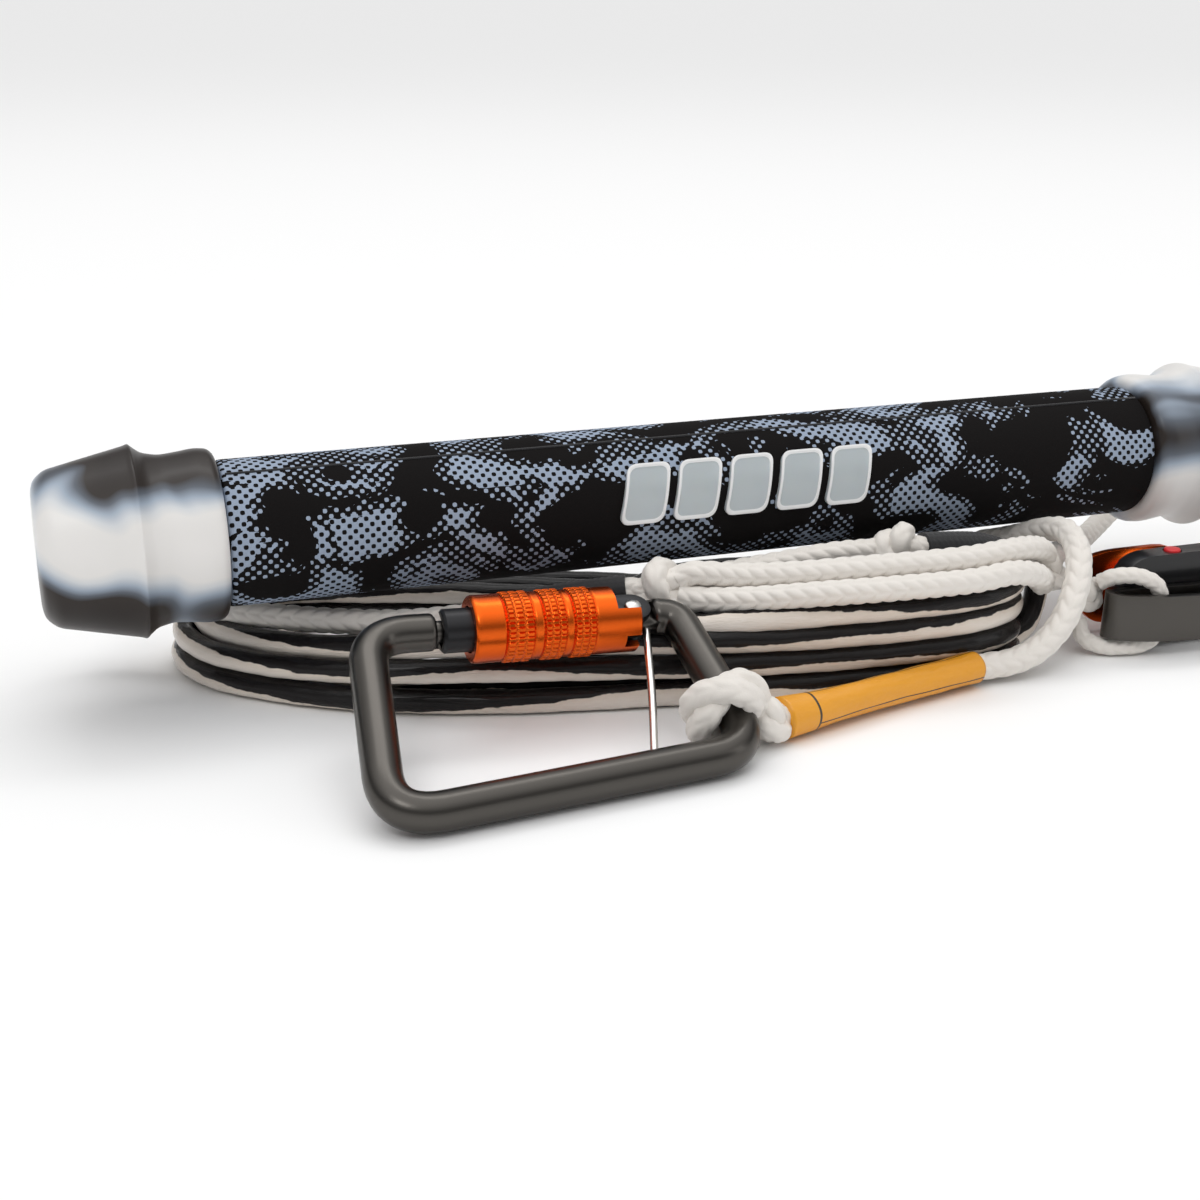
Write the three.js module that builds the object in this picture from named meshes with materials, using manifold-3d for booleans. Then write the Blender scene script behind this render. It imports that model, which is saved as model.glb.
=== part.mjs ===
// Tow rope handle with its coiled line, a twist-lock carabiner and a small line block.
// Millimetres, +Z up. X runs along the handle, Y = 0 is the vertical plane through its axis,
// and Z = 0 is the table that the coiled line, the carabiner and the block lie on.
import * as THREE from 'three';
import { mergeVertices } from 'three/addons/utils/BufferGeometryUtils.js';
import Module from 'manifold-3d';

const wasm = await Module();
wasm.setup();

// ---------------------------------------------------------------- driving dimensions
const GAP = 0.3;                 // clearance between touching pieces
const TINY = 0.05;               // overshoot of a cutter past the face that it cuts

const HANDLE_Z = 38;             // height of the handle's axis above the table
const GRIP_R = 16;
const GRIP_HALF = 113.5;         // half of the visible foam length
const TUBE_R = 12.7;
const TUBE_WALL = 1.5;
const TUBE_HALF = 136;
const CAP_END = 152;             // outer end of a cap, from the middle of the handle
const CAP_LIP = 131.3;           // place of the flashing ring that the cap flares to
const CAP_LIP_R = 20.9;
const PORT_R = 4.2;              // hole that the bridle leaves the cap through

const BRAID_R = 2.8;             // white braided bridle line
const END_BRAID_R = 3;           // thicker braid of the carabiner end
const COAT_R = 2.7;              // coated main line
const LOOP_R = 1.9;              // thin loop that holds the block
const SLEEVE_R = 3.5;            // black chafe sleeve over a bridle leg

const ROD_R = 4;                 // carabiner rod
const CARABINER_TILT = 24;       // degrees, gate side up
const CARABINER_YAW = 6.13;      // degrees, spine against the handle's axis
const CARABINER_ORIGIN = [-86.7, -80.9, 4.1];
const GATE_START = [16.2, 47.2]; // nose end of the gate axis, in the carabiner's plane
const GATE_SLOPE = -6.6;         // degrees
const PIVOT_S = 43;              // gate pivot, along the gate axis
const GATE_R = 4.7;
const LOCK_R = 7.2;              // twist sleeve
const LOCK_START = 7;
const LOCK_END = 43.4;

const LOBE = [-10.6, -62.2, 5.3];  // round lobe of the hitch, which the carabiner swings about
const LOBE_R = 4.7;
const LABEL_A = [-5.6, -60.9, 4.5];
const LABEL_B = [47.7, -47.2, 4.1];

const BLOCK_AXLE = [106.4, 10.9];  // X and Z of the sheave's axle
const BLOCK_PIVOT = [134, 8.3];    // X and Z of the pin that the strap turns on
const BODY_FRONT = -38;            // Y of the block body's front face
const BODY_THICK = 5.6;
const PLATE_Y = -26.8;             // Y of the rear plate's front face
const PLATE_THICK = 1.8;

// ---------------------------------------------------------------- materials
function finish(color, roughness, metalness) {
  return new THREE.MeshStandardMaterial({ color, roughness, metalness });
}
const black = 0x141214;
const M = {
  foam: finish(black, 0.95, 0),
  badge: finish(0xb9bcbf, 0.5, 0),
  cap: finish(0xdfe0e2, 0.45, 0),
  aluminium: finish(0xb8bbbe, 0.4, 0.9),
  floatFoam: finish(0xe8e4d8, 0.9, 0),
  bush: finish(0x2b2b2d, 0.6, 0),
  braid: finish(0xe6e1da, 0.85, 0),
  sleeve: finish(0x17171a, 0.7, 0),
  coated: finish(0x2a2827, 0.25, 0),
  label: finish(0xe6a317, 0.5, 0),
  rod: finish(0x3a3c3e, 0.4, 0.8),
  orange: finish(0xe4571a, 0.35, 0.8),
  steel: finish(0xc9c9c6, 0.3, 1),
  gate: finish(0x1e1f21, 0.35, 0.7),
  block: finish(0x1a1b1d, 0.35, 0.2),
  red: finish(0xc2151b, 0.4, 0),
};

// ---------------------------------------------------------------- helpers
const group = new THREE.Group();
const rad = THREE.MathUtils.degToRad;
const v3 = (p) => new THREE.Vector3(p[0], p[1], p[2]);
const v2 = (x, y) => new THREE.Vector2(x, y);

function add(name, geometry, material, parent = group) {
  const mesh = new THREE.Mesh(geometry, material);
  mesh.name = name;
  parent.add(mesh);
  return mesh;
}

// Position-only copy with shared vertices, no collapsed triangles, and faces pointing out.
function closed(geometry) {
  const bare = new THREE.BufferGeometry();
  bare.setAttribute('position', geometry.attributes.position.clone());
  if (geometry.index) bare.setIndex(geometry.index.clone());
  const merged = mergeVertices(bare, 1e-4);
  const pos = merged.attributes.position;
  const source = merged.index.array;
  const kept = [];
  let volume = 0;
  for (let i = 0; i < source.length; i += 3) {
    const [a, b, c] = [source[i], source[i + 1], source[i + 2]];
    if (a === b || b === c || a === c) continue;
    kept.push(a, b, c);
    const [p, q, r] = [a, b, c].map((k) => new THREE.Vector3().fromBufferAttribute(pos, k));
    volume += p.dot(q.cross(r)) / 6;
  }
  if (volume < 0) {
    for (let i = 0; i < kept.length; i += 3) [kept[i], kept[i + 1]] = [kept[i + 1], kept[i]];
  }
  merged.setIndex(kept);
  return merged;
}

function solid(geometry) {
  const g = closed(geometry);
  return new wasm.Manifold(new wasm.Mesh({
    numProp: 3,
    vertProperties: new Float32Array(g.attributes.position.array),
    triVerts: new Uint32Array(g.index.array),
  }));
}

function shell(body) {
  const m = body.getMesh();
  const g = new THREE.BufferGeometry();
  g.setAttribute('position', new THREE.BufferAttribute(new Float32Array(m.vertProperties), 3));
  g.setIndex(new THREE.BufferAttribute(new Uint32Array(m.triVerts), 1));
  return g;
}

// First geometry with the others cut away.
function cut(geometry, ...cutters) {
  return shell(cutters.reduce((body, cutter) => body.subtract(solid(cutter)), solid(geometry)));
}

function join(geometry, ...others) {
  return shell(others.reduce((body, other) => body.add(solid(other)), solid(geometry)));
}

// Profile of [distance along the axis, radius] pairs turned about X, Y or Z.
function turned(profile, segments = 40, axis = 'x') {
  const g = new THREE.LatheGeometry(profile.map(([a, r]) => v2(r, a)), segments);
  if (axis === 'x') g.rotateZ(-Math.PI / 2);
  if (axis === 'z') g.rotateX(Math.PI / 2);
  return closed(g);
}

const disc = (a, b, r, segments, axis) => turned([[a, 0], [a, r], [b, r], [b, 0]], segments, axis);

function ring(a, b, inner, outer, segments, axis) {
  return turned([[a, inner], [a, outer], [b, outer], [b, inner], [a, inner]], segments, axis);
}

// Round tube along a smooth curve through the points, with a step every `pitch` diameters.
// `grow` fattens it without moving its steps, for a cutter that clears the same tube.
function tube(points, radius, sides = 10, pitch = 2.4, grow = 0) {
  const path = new THREE.CatmullRomCurve3(points.map(v3), false, 'centripetal');
  const section = new THREE.Shape();
  const r = radius + grow;
  for (let i = 0; i < sides; i++) {
    const a = (2 * Math.PI * i) / sides;
    if (i === 0) section.moveTo(r, 0);
    else section.lineTo(r * Math.cos(a), r * Math.sin(a));
  }
  const steps = Math.max(2, Math.round(path.getLength() / (2 * radius * pitch)));
  return closed(new THREE.ExtrudeGeometry(section, { steps, extrudePath: path }));
}

// Outline with rounded corners; each corner is [x, y, radius].
function rounded(corners) {
  const shape = new THREE.Shape();
  const n = corners.length;
  corners.forEach((c, i) => {
    const here = v2(c[0], c[1]);
    const last = corners[(i + n - 1) % n];
    const next = corners[(i + 1) % n];
    const into = v2(last[0], last[1]).sub(here).normalize().multiplyScalar(c[2]).add(here);
    const out = v2(next[0], next[1]).sub(here).normalize().multiplyScalar(c[2]).add(here);
    if (i === 0) shape.moveTo(into.x, into.y);
    else shape.lineTo(into.x, into.y);
    shape.quadraticCurveTo(here.x, here.y, out.x, out.y);
  });
  shape.closePath();
  return shape;
}

// An XZ outline given thickness along Y, from y0 towards +Y.
function plateXZ(shape, y0, thickness, curveSegments = 6) {
  const g = new THREE.ExtrudeGeometry(shape, { depth: thickness, bevelEnabled: false, curveSegments });
  g.rotateX(Math.PI / 2);
  g.translate(0, y0 + thickness, 0);
  return closed(g);
}

function ball(centre, rx, ry = rx, rz = rx, wide = 14, high = 9) {
  const g = new THREE.SphereGeometry(1, wide, high);
  g.scale(rx, ry, rz);
  g.translate(...centre);
  return closed(g);
}

// ---------------------------------------------------------------- handle
const handle = new THREE.Group();
handle.position.z = HANDLE_Z;
group.add(handle);

const PORT_ROUTE = [
  [137.4, 0, 0], [141.5, 0.9, -0.2], [144.6, 4, -0.8], [145.6, 9, -2], [145.6, 15, -4], [145.2, 23, -9.5],
];

function mirrored(points, side) {
  return points.map(([x, y, z]) => [side * x, y, z]);
}

function gripTube() {
  return ring(-TUBE_HALF, TUBE_HALF, TUBE_R - TUBE_WALL, TUBE_R, 32);
}

function gripSleeve() {
  const bore = TUBE_R + GAP;
  const edge = 1;
  return turned([
    [-GRIP_HALF, bore], [-GRIP_HALF, GRIP_R - edge], [edge - GRIP_HALF, GRIP_R],
    [GRIP_HALF - edge, GRIP_R], [GRIP_HALF, GRIP_R - edge], [GRIP_HALF, bore], [-GRIP_HALF, bore],
  ], 36);
}

function endCap(side) {
  const inner = GRIP_HALF + GAP;
  const outside = [
    [inner, 17.6], [inner + 1.4, 18.7], [CAP_LIP - 4, 18.9],
    [CAP_LIP - 0.5, CAP_LIP_R], [CAP_LIP + 0.5, CAP_LIP_R], [CAP_LIP + 1.6, 19.9],
    [CAP_LIP + 8, 18.5], [CAP_END - 4, 16.6], [CAP_END - 1.2, 15.2], [CAP_END, 12.6],
  ];
  const pocket = [[TUBE_HALF + GAP, TUBE_R + GAP], [inner, TUBE_R + GAP]];
  const profile = [[CAP_END, 0], [TUBE_HALF + GAP, 0], ...pocket, ...outside, [CAP_END, 0]];
  const body = turned(profile.map(([a, r]) => [side * a, r]), 32);
  const entry = disc(side * (TUBE_HALF - 1), side * (PORT_ROUTE[0][0] + 1), PORT_R, 8);
  return cut(body, entry, tube(mirrored(PORT_ROUTE, side), PORT_R, 8, 0.9));
}

function bushing(side) {
  const [a, b] = [GRIP_HALF + 6, TUBE_HALF - GAP];
  const outer = TUBE_R - TUBE_WALL - GAP;
  const profile = [[a, 3.2], [a, outer], [b, outer], [b, 5], [b - 2, 3.2], [a, 3.2]];
  return turned(profile.map(([x, r]) => [side * x, r]), 28);
}

add('grip_tube', gripTube(), M.aluminium, handle);
add('grip_sleeve', gripSleeve(), M.foam, handle);
const floatEnd = GRIP_HALF + 6 - GAP;
add('float_core', ring(-floatEnd, floatEnd, 3.3, TUBE_R - TUBE_WALL - GAP, 28), M.floatFoam, handle);
const innerEnd = PORT_ROUTE[0][0] - 3 * GAP;
add('bridle_inner', disc(-innerEnd, innerEnd, BRAID_R, 12), M.braid, handle);
for (const [side, word] of [[-1, 'left'], [1, 'right']]) {
  add(`tube_bushing_${word}`, bushing(side), M.bush, handle);
  add(`end_cap_${word}`, endCap(side), M.cap, handle);
}

// Five raised tiles on the grip, facing up and forward.
const TILE_PITCH = 12.6;
const TILE_W = 10.6;
const TILE_H = 13.4;
const TILE_LEAN = 1.6;
const TILE_FACING = 17;          // degrees above the horizontal
const TILE_MIDDLE = 4.2;

function badgeTile(index) {
  const x = TILE_MIDDLE + (index - 2) * TILE_PITCH;
  const [w, h] = [TILE_W / 2, TILE_H / 2];
  const outline = rounded([
    [x - w - TILE_LEAN, -h, 2.2], [x + w - TILE_LEAN, -h, 2.2],
    [x + w + TILE_LEAN, h, 2.2], [x - w + TILE_LEAN, h, 2.2],
  ]);
  const block = plateXZ(outline, -30, 20, 3);
  const skin = solid(block)
    .intersect(solid(disc(x - 10, x + 10, GRIP_R + 1.4, 40)))
    .subtract(solid(disc(x - 12, x + 12, GRIP_R + GAP, 40)));
  return shell(skin);
}

for (let i = 0; i < 5; i++) {
  add(`badge_tile_${i + 1}`, badgeTile(i), M.badge, handle).rotation.x = -rad(TILE_FACING);
}

// ---------------------------------------------------------------- bridle lines and knots
const SLEEVE_LEFT = [[-49, -15.5, 19.5], [-38, -19, 21.4], [-28.6, -22.6, 22.8]];
const SLEEVE_RIGHT = [[61, -21.5, 23.6], [53, -23.6, 25.2], [44.6, -24.4, 26]];
const LEG_LEFT = [
  [-144.6, 25, 26.4], [-141.5, 29.5, 19.5], [-135, 29.5, 15.4], [-125, 23.5, 15], [-113, 13.5, 15.6],
  [-101, 4, 16], [-88, -3, 15.8], [-74, -8.6, 16], [-60, -12.6, 17.4],
];
const LEG_RIGHT = [
  [144.6, 25, 26.4], [142, 29.5, 19], [135.5, 29.5, 13], [124, 22.5, 9.5], [112, 12, 9.6], [101, 2.5, 11.4],
  [90.5, -7, 14], [80, -14, 16.6], [70, -18.4, 20.2],
];
const KNOT_LEFT = [-21, -26.6, 23.4];
const KNOT_RIGHT = [38.3, -23.6, 26.2];
const KNOT_MAIN = [77, -28, 18.4];
const KNOT_LOOP = [85, -33.6, 13.4];
const TAIL_LOWER = [
  [-14.6, -30.6, 21.8], [-4, -36, 22.4], [10, -42, 24], [28, -45.6, 24.6], [46, -46.4, 24.6],
  [57, -44.4, 24.6], [66.6, -39.6, 21.4], [71.2, -34.6, 17.6],
];
const TAIL_UPPER = [
  [-15.4, -27.6, 26.8], [-4, -31.2, 26.4], [8, -36.2, 27.2], [20, -39.4, 28], [34, -41.3, 28.3],
  [48, -41.5, 28.3], [59, -39, 28.1], [67.6, -34.8, 26.6], [73.6, -30.4, 23.8],
];
const CROSS_LINE = [[32.2, -23.4, 26.2], [22, -24.6, 26.8], [10, -23, 25.4], [-3, -22, 24], [-14.4, -22.8, 22.4]];

// Route of a bridle leg: out through its cap's port and on along its own points.
function legRoute(route, side) {
  const port = mirrored(PORT_ROUTE, side).map(([x, y, z]) => [x, y, z + HANDLE_Z]);
  return [...port.slice(0, 5), ...route];
}

const LEG_LEFT_END = [-50.2, -15.1, 19.2];  // each leg stops just before its chafe sleeve
const LEG_RIGHT_END = [62.2, -21.1, 23.2];
add('bridle_leg_left', tube([...legRoute(LEG_LEFT, -1), LEG_LEFT_END], BRAID_R, 10, 1.4), M.braid);
add('bridle_leg_right', tube([...legRoute(LEG_RIGHT, 1), LEG_RIGHT_END], BRAID_R, 10, 1.4), M.braid);
add('line_sleeve_left', tube(SLEEVE_LEFT, SLEEVE_R, 12, 0.8), M.sleeve);
add('line_sleeve_right', tube(SLEEVE_RIGHT, SLEEVE_R, 12, 0.8), M.sleeve);

function knot(centre, rx, ry, rz, ...ropes) {
  return cut(ball(centre, rx, ry, rz), ...ropes);
}

const around = (points, radius, sides = 10, pitch = 2.4) => tube(points, radius, sides, pitch, GAP);
add('knot_left', knot(KNOT_LEFT, 6.2, 5.6, 5.6,
  around(SLEEVE_LEFT, SLEEVE_R, 12, 0.8), around(TAIL_LOWER, BRAID_R), around(TAIL_UPPER, BRAID_R),
  around(CROSS_LINE, BRAID_R)), M.braid);
add('knot_right', knot(KNOT_RIGHT, 5.6, 4.8, 4.8,
  around(SLEEVE_RIGHT, SLEEVE_R, 12, 0.8), around(CROSS_LINE, BRAID_R)), M.braid);
add('bridle_cross_line', tube(CROSS_LINE, BRAID_R), M.braid);
add('bridle_tail_lower', tube(TAIL_LOWER, BRAID_R), M.braid);
add('bridle_tail_upper', tube(TAIL_UPPER, BRAID_R), M.braid);

// ---------------------------------------------------------------- coiled main line
// Outermost turn, seen from above: a long loop, narrow at its right fold and wide at the left.
const LOOP_OUTLINE = [
  [66, -24], [62, -36.6], [50, -42.4], [30, -43], [0, -40], [-30, -35.4], [-58, -29.4], [-84, -19.6],
  [-104, -6.6], [-117, 7], [-121.4, 22], [-117, 37], [-104, 47.6], [-86, 51], [-62, 46], [-34, 34],
  [-6, 20], [20, 6], [42, -4.6], [57, -12],
];
const LOOP_SAMPLES = 72;
const LOW_STACK = 11;            // two turns high
const HIGH_STACK = 21.7;         // four turns high, along the front
const HIGH_STRETCH = [1, 15];    // first and last sample of that high stretch
const ROPE_EDGE = COAT_R + 0.1;

function loopOffset(inset) {
  const curve = new THREE.CatmullRomCurve3(LOOP_OUTLINE.map(([x, y]) => v3([x, y, 0])), true, 'centripetal');
  const points = [];
  for (let i = 0; i < LOOP_SAMPLES; i++) {
    const p = curve.getPointAt(i / LOOP_SAMPLES);
    const t = curve.getTangentAt(i / LOOP_SAMPLES);
    points.push(v2(p.x + t.y * inset, p.y - t.x * inset));
  }
  return points;
}

// The loop runs clockwise, so a positive inset moves to its inside.
function frontPoints(inset, first, last) {
  return loopOffset(inset).slice(first, last);
}

function upright(shape, z0, z1) {
  const g = new THREE.ExtrudeGeometry(shape, { depth: z1 - z0, bevelEnabled: false, curveSegments: 4 });
  g.translate(0, 0, z0);
  return closed(g);
}

function coil() {
  const low = new THREE.Shape(loopOffset(-ROPE_EDGE));
  low.holes.push(new THREE.Path(innerOutline()));
  const [first, last] = HIGH_STRETCH;
  const wall = new THREE.Shape([
    ...frontPoints(-ROPE_EDGE, first, last),
    ...frontPoints(ROPE_EDGE, first, last).reverse(),
  ]);
  return join(upright(low, 0, LOW_STACK), upright(wall, LOW_STACK - 1, HIGH_STACK));
}

// The hole in the middle: the straight stretches keep the full band, the right fold closes up.
function innerOutline() {
  return [
    v2(24, -31), v2(0, -27.6), v2(-30, -22), v2(-58, -14), v2(-80, -3), v2(-95, 8), v2(-102, 20),
    v2(-98, 29), v2(-84, 33), v2(-62, 28), v2(-34, 16), v2(-6, 0), v2(14, -12), v2(24, -20),
  ].reverse();
}

const coilBody = solid(coil());
const clearOf = (body, ...ropes) => shell(ropes.reduce((b, rope) => b.subtract(solid(rope)), body));

const END_LINE = [
  [70.6, 4.6, 12.6], [76.4, 3.6, 15.6], [79.6, -3, 18.4], [80.7, -11, 21.7], [81.6, -18.4, 25],
  [82.4, -25, 26.6], [81.4, -32, 25.2], [78.6, -38.2, 21.4], [74.6, -42.8, 16.2], [69.6, -45.8, 10.8],
  [63, -47.4, 6.4], [56, -47.8, 4.4], [50.4, -47.6, 4.1],
];
const LEAD_OUT = [[52, 4.5, 8.6], [59, 4.8, 9.4], [64.5, 4.9, 10.6], [69.8, 4.8, 12.2]];
const LEAD_IN = [[72.6, -26.6, 15.4], [67.6, -26, 13.9], [60, -27.8, 13.8], [52, -31, 13.8], [44, -33, 13.8]];

const labelClearance = tube([[-8, -61.5, 4.5], LABEL_B, [54, -45.6, 4]], 4.2, 14, 2);

add('mainline_coil', clearOf(coilBody,
  around(LEAD_OUT, COAT_R), around(LEAD_IN, COAT_R), around(TAIL_LOWER, BRAID_R),
  around(END_LINE, END_BRAID_R), labelClearance), M.coated);
add('mainline_lead_out', tube(LEAD_OUT, COAT_R), M.coated);
add('mainline_lead_in', tube(LEAD_IN, COAT_R), M.coated);
add('end_line', tube(END_LINE, END_BRAID_R), M.braid);
add('knot_main', knot(KNOT_MAIN, 5, 4.9, 4.9,
  around(TAIL_LOWER, BRAID_R), around(TAIL_UPPER, BRAID_R),
  around(LEAD_IN, COAT_R), around(END_LINE, END_BRAID_R)), M.braid);

// ---------------------------------------------------------------- label on the carabiner end
function frameOf(from, to) {
  const g = new THREE.Group();
  g.position.copy(v3(from));
  const direction = v3(to).sub(v3(from)).normalize();
  g.quaternion.setFromUnitVectors(new THREE.Vector3(1, 0, 0), direction);
  return g;
}

const label = frameOf(LABEL_A, LABEL_B);
group.add(label);
const LABEL_LENGTH = v3(LABEL_A).distanceTo(v3(LABEL_B));

function labelSleeve() {
  const wall = 0.5;
  const start = 2.4;
  const outside = [[start, 4], [start + 14, 3.6], [LABEL_LENGTH - 12, 3.55], [LABEL_LENGTH, 3.8]];
  const bore = outside.map(([a, r]) => [a, r - wall]).reverse();
  return turned([...outside, ...bore, outside[0]], 16);
}
add('label_sleeve', labelSleeve(), M.label, label);
add('label_line', disc(0.4, LABEL_LENGTH + 2, 2.7, 12), M.braid, label);

// ---------------------------------------------------------------- carabiner
// Drawn flat: local X along the spine, local Y towards the gate, local Z out of its plane.
const carabiner = new THREE.Group();
carabiner.position.set(...CARABINER_ORIGIN);
carabiner.rotation.set(rad(CARABINER_TILT), 0, rad(CARABINER_YAW), 'ZYX');
group.add(carabiner);
carabiner.updateMatrixWorld(true);

const gateDirection = v2(Math.cos(rad(GATE_SLOPE)), Math.sin(rad(GATE_SLOPE)));
const PIVOT = [
  GATE_START[0] + gateDirection.x * PIVOT_S,
  GATE_START[1] + gateDirection.y * PIVOT_S,
  0,
];

// Centreline from the nose round the spine to the hinge, with a rounded corner at each vertex.
const ROD_CORNERS = [
  [GATE_START[0] - 0.4, GATE_START[1] + 0.05, 0], [1.4, 49, 10], [-9.6, 0, 9.5], [68.4, 0, 10.5],
  [PIVOT[0] + 10.4, PIVOT[1] - 1.2, 5.3], [PIVOT[0] + 4.8, PIVOT[1] - 0.55, 0],
];

function rodPath() {
  const path = new THREE.CurvePath();
  const at = (c) => new THREE.Vector3(c[0], c[1], 0);
  let last = at(ROD_CORNERS[0]);
  for (let i = 1; i < ROD_CORNERS.length - 1; i++) {
    const here = at(ROD_CORNERS[i]);
    const radius = ROD_CORNERS[i][2];
    const into = at(ROD_CORNERS[i - 1]).sub(here).normalize();
    const out = at(ROD_CORNERS[i + 1]).sub(here).normalize();
    const reach = radius / Math.tan(into.angleTo(out) / 2);
    const a = here.clone().addScaledVector(into, reach);
    const b = here.clone().addScaledVector(out, reach);
    path.add(new THREE.LineCurve3(last, a));
    path.add(new THREE.QuadraticBezierCurve3(a, here, b));
    last = b;
  }
  path.add(new THREE.LineCurve3(last, at(ROD_CORNERS[ROD_CORNERS.length - 1])));
  return path;
}

// Points at even arc length along a path, so that the tube keeps its section.
function evenly(path, count) {
  return path.getSpacedPoints(count).map((p) => [p.x, p.y, p.z]);
}

const ROD_STEPS = 60;
const ROD_PITCH = 0.66;          // diameters to a step round the bends

function rod(radius, sides = 12) {
  return tube(evenly(rodPath(), ROD_STEPS), ROD_R, sides, ROD_PITCH, radius - ROD_R);
}

// Shapes along the gate axis are built along X from the gate's start and then placed.
function alongGate(geometry) {
  const g = geometry.clone();
  g.rotateZ(rad(GATE_SLOPE));
  g.translate(GATE_START[0], GATE_START[1], 0);
  return g;
}

function box(x0, x1, y0, y1, z0, z1) {
  const g = new THREE.BoxGeometry(x1 - x0, y1 - y0, z1 - z0);
  g.translate((x0 + x1) / 2, (y0 + y1) / 2, (z0 + z1) / 2);
  return closed(g);
}

const TONGUE_HALF = 1.7;         // half thickness of the frame's hinge tongue
const TONGUE_R = 3.6;
const FORK_IN = TONGUE_HALF + GAP;
const RIVET_R = 1.3;
const FORK_R = 3.9;
const PIN_R = 0.85;
const PIN_FOOT = [46.5, 0, 0];
const PIN_TOP = [61.4, 39.4, 0];
const PIN_MIDDLE = [53.95, 19.7, 0];
const BOSS_R = 2.3;              // nose button that the gate's slot closes over

function hingeTongue() {
  const reach = 6;
  const bar = box(PIVOT_S, PIVOT_S + reach, -TONGUE_R, TONGUE_R, -TONGUE_HALF, TONGUE_HALF);
  const round = disc(-TONGUE_HALF, TONGUE_HALF, TONGUE_R, 24, 'z');
  round.translate(PIVOT_S, 0, 0);
  return join(alongGate(bar), alongGate(round));
}

const pinPath = () => tube([PIN_FOOT, PIN_MIDDLE, PIN_TOP], PIN_R, 10, 3);

function carabinerFrame() {
  const boss = alongGate(disc(-1.2, 2.4, BOSS_R, 16));
  const rivetHole = alongGate(disc(-6, 6, RIVET_R + 0.15, 16, 'z').translate(PIVOT_S, 0, 0));
  const pinHole = tube([PIN_FOOT, PIN_MIDDLE, PIN_TOP], PIN_R + 0.25, 10, 3);
  return cut(join(rod(ROD_R), hingeTongue(), boss), rivetHole, pinHole);
}

function gateBody() {
  const back = PIVOT_S - 4.6;
  const barrel = turned([
    [0.9, 0], [0.9, GATE_R - 0.6], [1.5, GATE_R], [back, GATE_R], [back, 0],
  ], 28);
  const fork = box(back - 1, PIVOT_S, -FORK_R, FORK_R, -3.5, 3.5);
  const eye = disc(-3.5, 3.5, FORK_R, 24, 'z').translate(PIVOT_S, 0, 0);
  const between = box(back + TINY, PIVOT_S + 8, -8, 8, -FORK_IN, FORK_IN);
  const bore = disc(PIVOT_S - 20, PIVOT_S, 2.2, 16);
  const slot = box(0, 3.1, -BOSS_R - 0.5, 8, -BOSS_R - 0.4, BOSS_R + 0.4);
  const hole = disc(-6, 6, RIVET_R + 0.15, 16, 'z').translate(PIVOT_S, 0, 0);
  return alongGate(cut(join(barrel, fork, eye), between, bore, slot, hole));
}

// Twist sleeve with two grooves between its three grip bands; the upper half stops short of the hinge.
const GROOVES = [[20.2, 21.6], [26.8, 28]];
const GROOVE_DEPTH = 0.45;
const POCKET = [19, 34];

function lockSleeve() {
  const inner = GATE_R + GAP;
  const outside = [[LOCK_START, LOCK_R - 0.5], [LOCK_START + 0.6, LOCK_R]];
  for (const [a, b] of GROOVES) {
    outside.push([a, LOCK_R], [a, LOCK_R - GROOVE_DEPTH], [b, LOCK_R - GROOVE_DEPTH], [b, LOCK_R]);
  }
  outside.push([LOCK_END - 0.4, LOCK_R], [LOCK_END, LOCK_R - 0.4]);
  const bore = [
    [LOCK_END, inner + 0.4], [POCKET[1] + 2, inner + 0.4], [POCKET[1] + 1.6, inner],
    [POCKET[1], inner], [POCKET[1], 6.2], [POCKET[0], 6.2], [POCKET[0], inner], [LOCK_START, inner],
  ];
  const body = turned([...outside, ...bore, outside[0]], 20);
  const notch = box(PIVOT_S - 4.9, LOCK_END + 1, 1.4, 9, -9, 9);
  const top = box(PIVOT_S - 4.9, LOCK_END + 1, -3.4, 9, 0.2, 9);
  const pinSlot = box(40, LOCK_END + 1, -9, -3, -1.6, 1.6);
  return alongGate(cut(body, notch, top, pinSlot));
}

add('carabiner_frame', carabinerFrame(), M.rod, carabiner);
add('carabiner_gate', gateBody(), M.gate, carabiner);
add('lock_sleeve', lockSleeve(), M.orange, carabiner);
add('lock_spring', alongGate(ring(POCKET[0] + 0.4, POCKET[1] - 0.4, GATE_R + 0.15, 6, 24)), M.steel, carabiner);
add('gate_spring', alongGate(ring(PIVOT_S - 19.6, PIVOT_S - 9.4, 1.2, 1.9, 14)), M.steel, carabiner);
add('gate_plunger', alongGate(disc(PIVOT_S - 9.1, PIVOT_S - 4.1, 1.9, 14)), M.steel, carabiner);

function hingeRivet() {
  const head = 1.9;
  const face = 3.5 + 0.15;
  const dome = [[0.45, head * 0.8], [0.7, head * 0.4], [0.8, 0]].map(([h, r]) => [face + h, r]);
  const half = [[face, RIVET_R], [face, head], [face + 0.15, head], ...dome];
  const other = half.map(([a, r]) => [-a, r]).reverse();
  const g = turned([...other, ...half], 14, 'z');
  g.translate(PIVOT_S, 0, 0);
  return alongGate(g);
}
add('hinge_rivet', hingeRivet(), M.steel, carabiner);
add('captive_pin', cut(pinPath(), rod(ROD_R - 1.4, 12)), M.steel, carabiner);

// Hitch of the end line round the rod, and its round lobe.
const HITCH_MIDDLE = [65.2, 11.6, 0];

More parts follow.
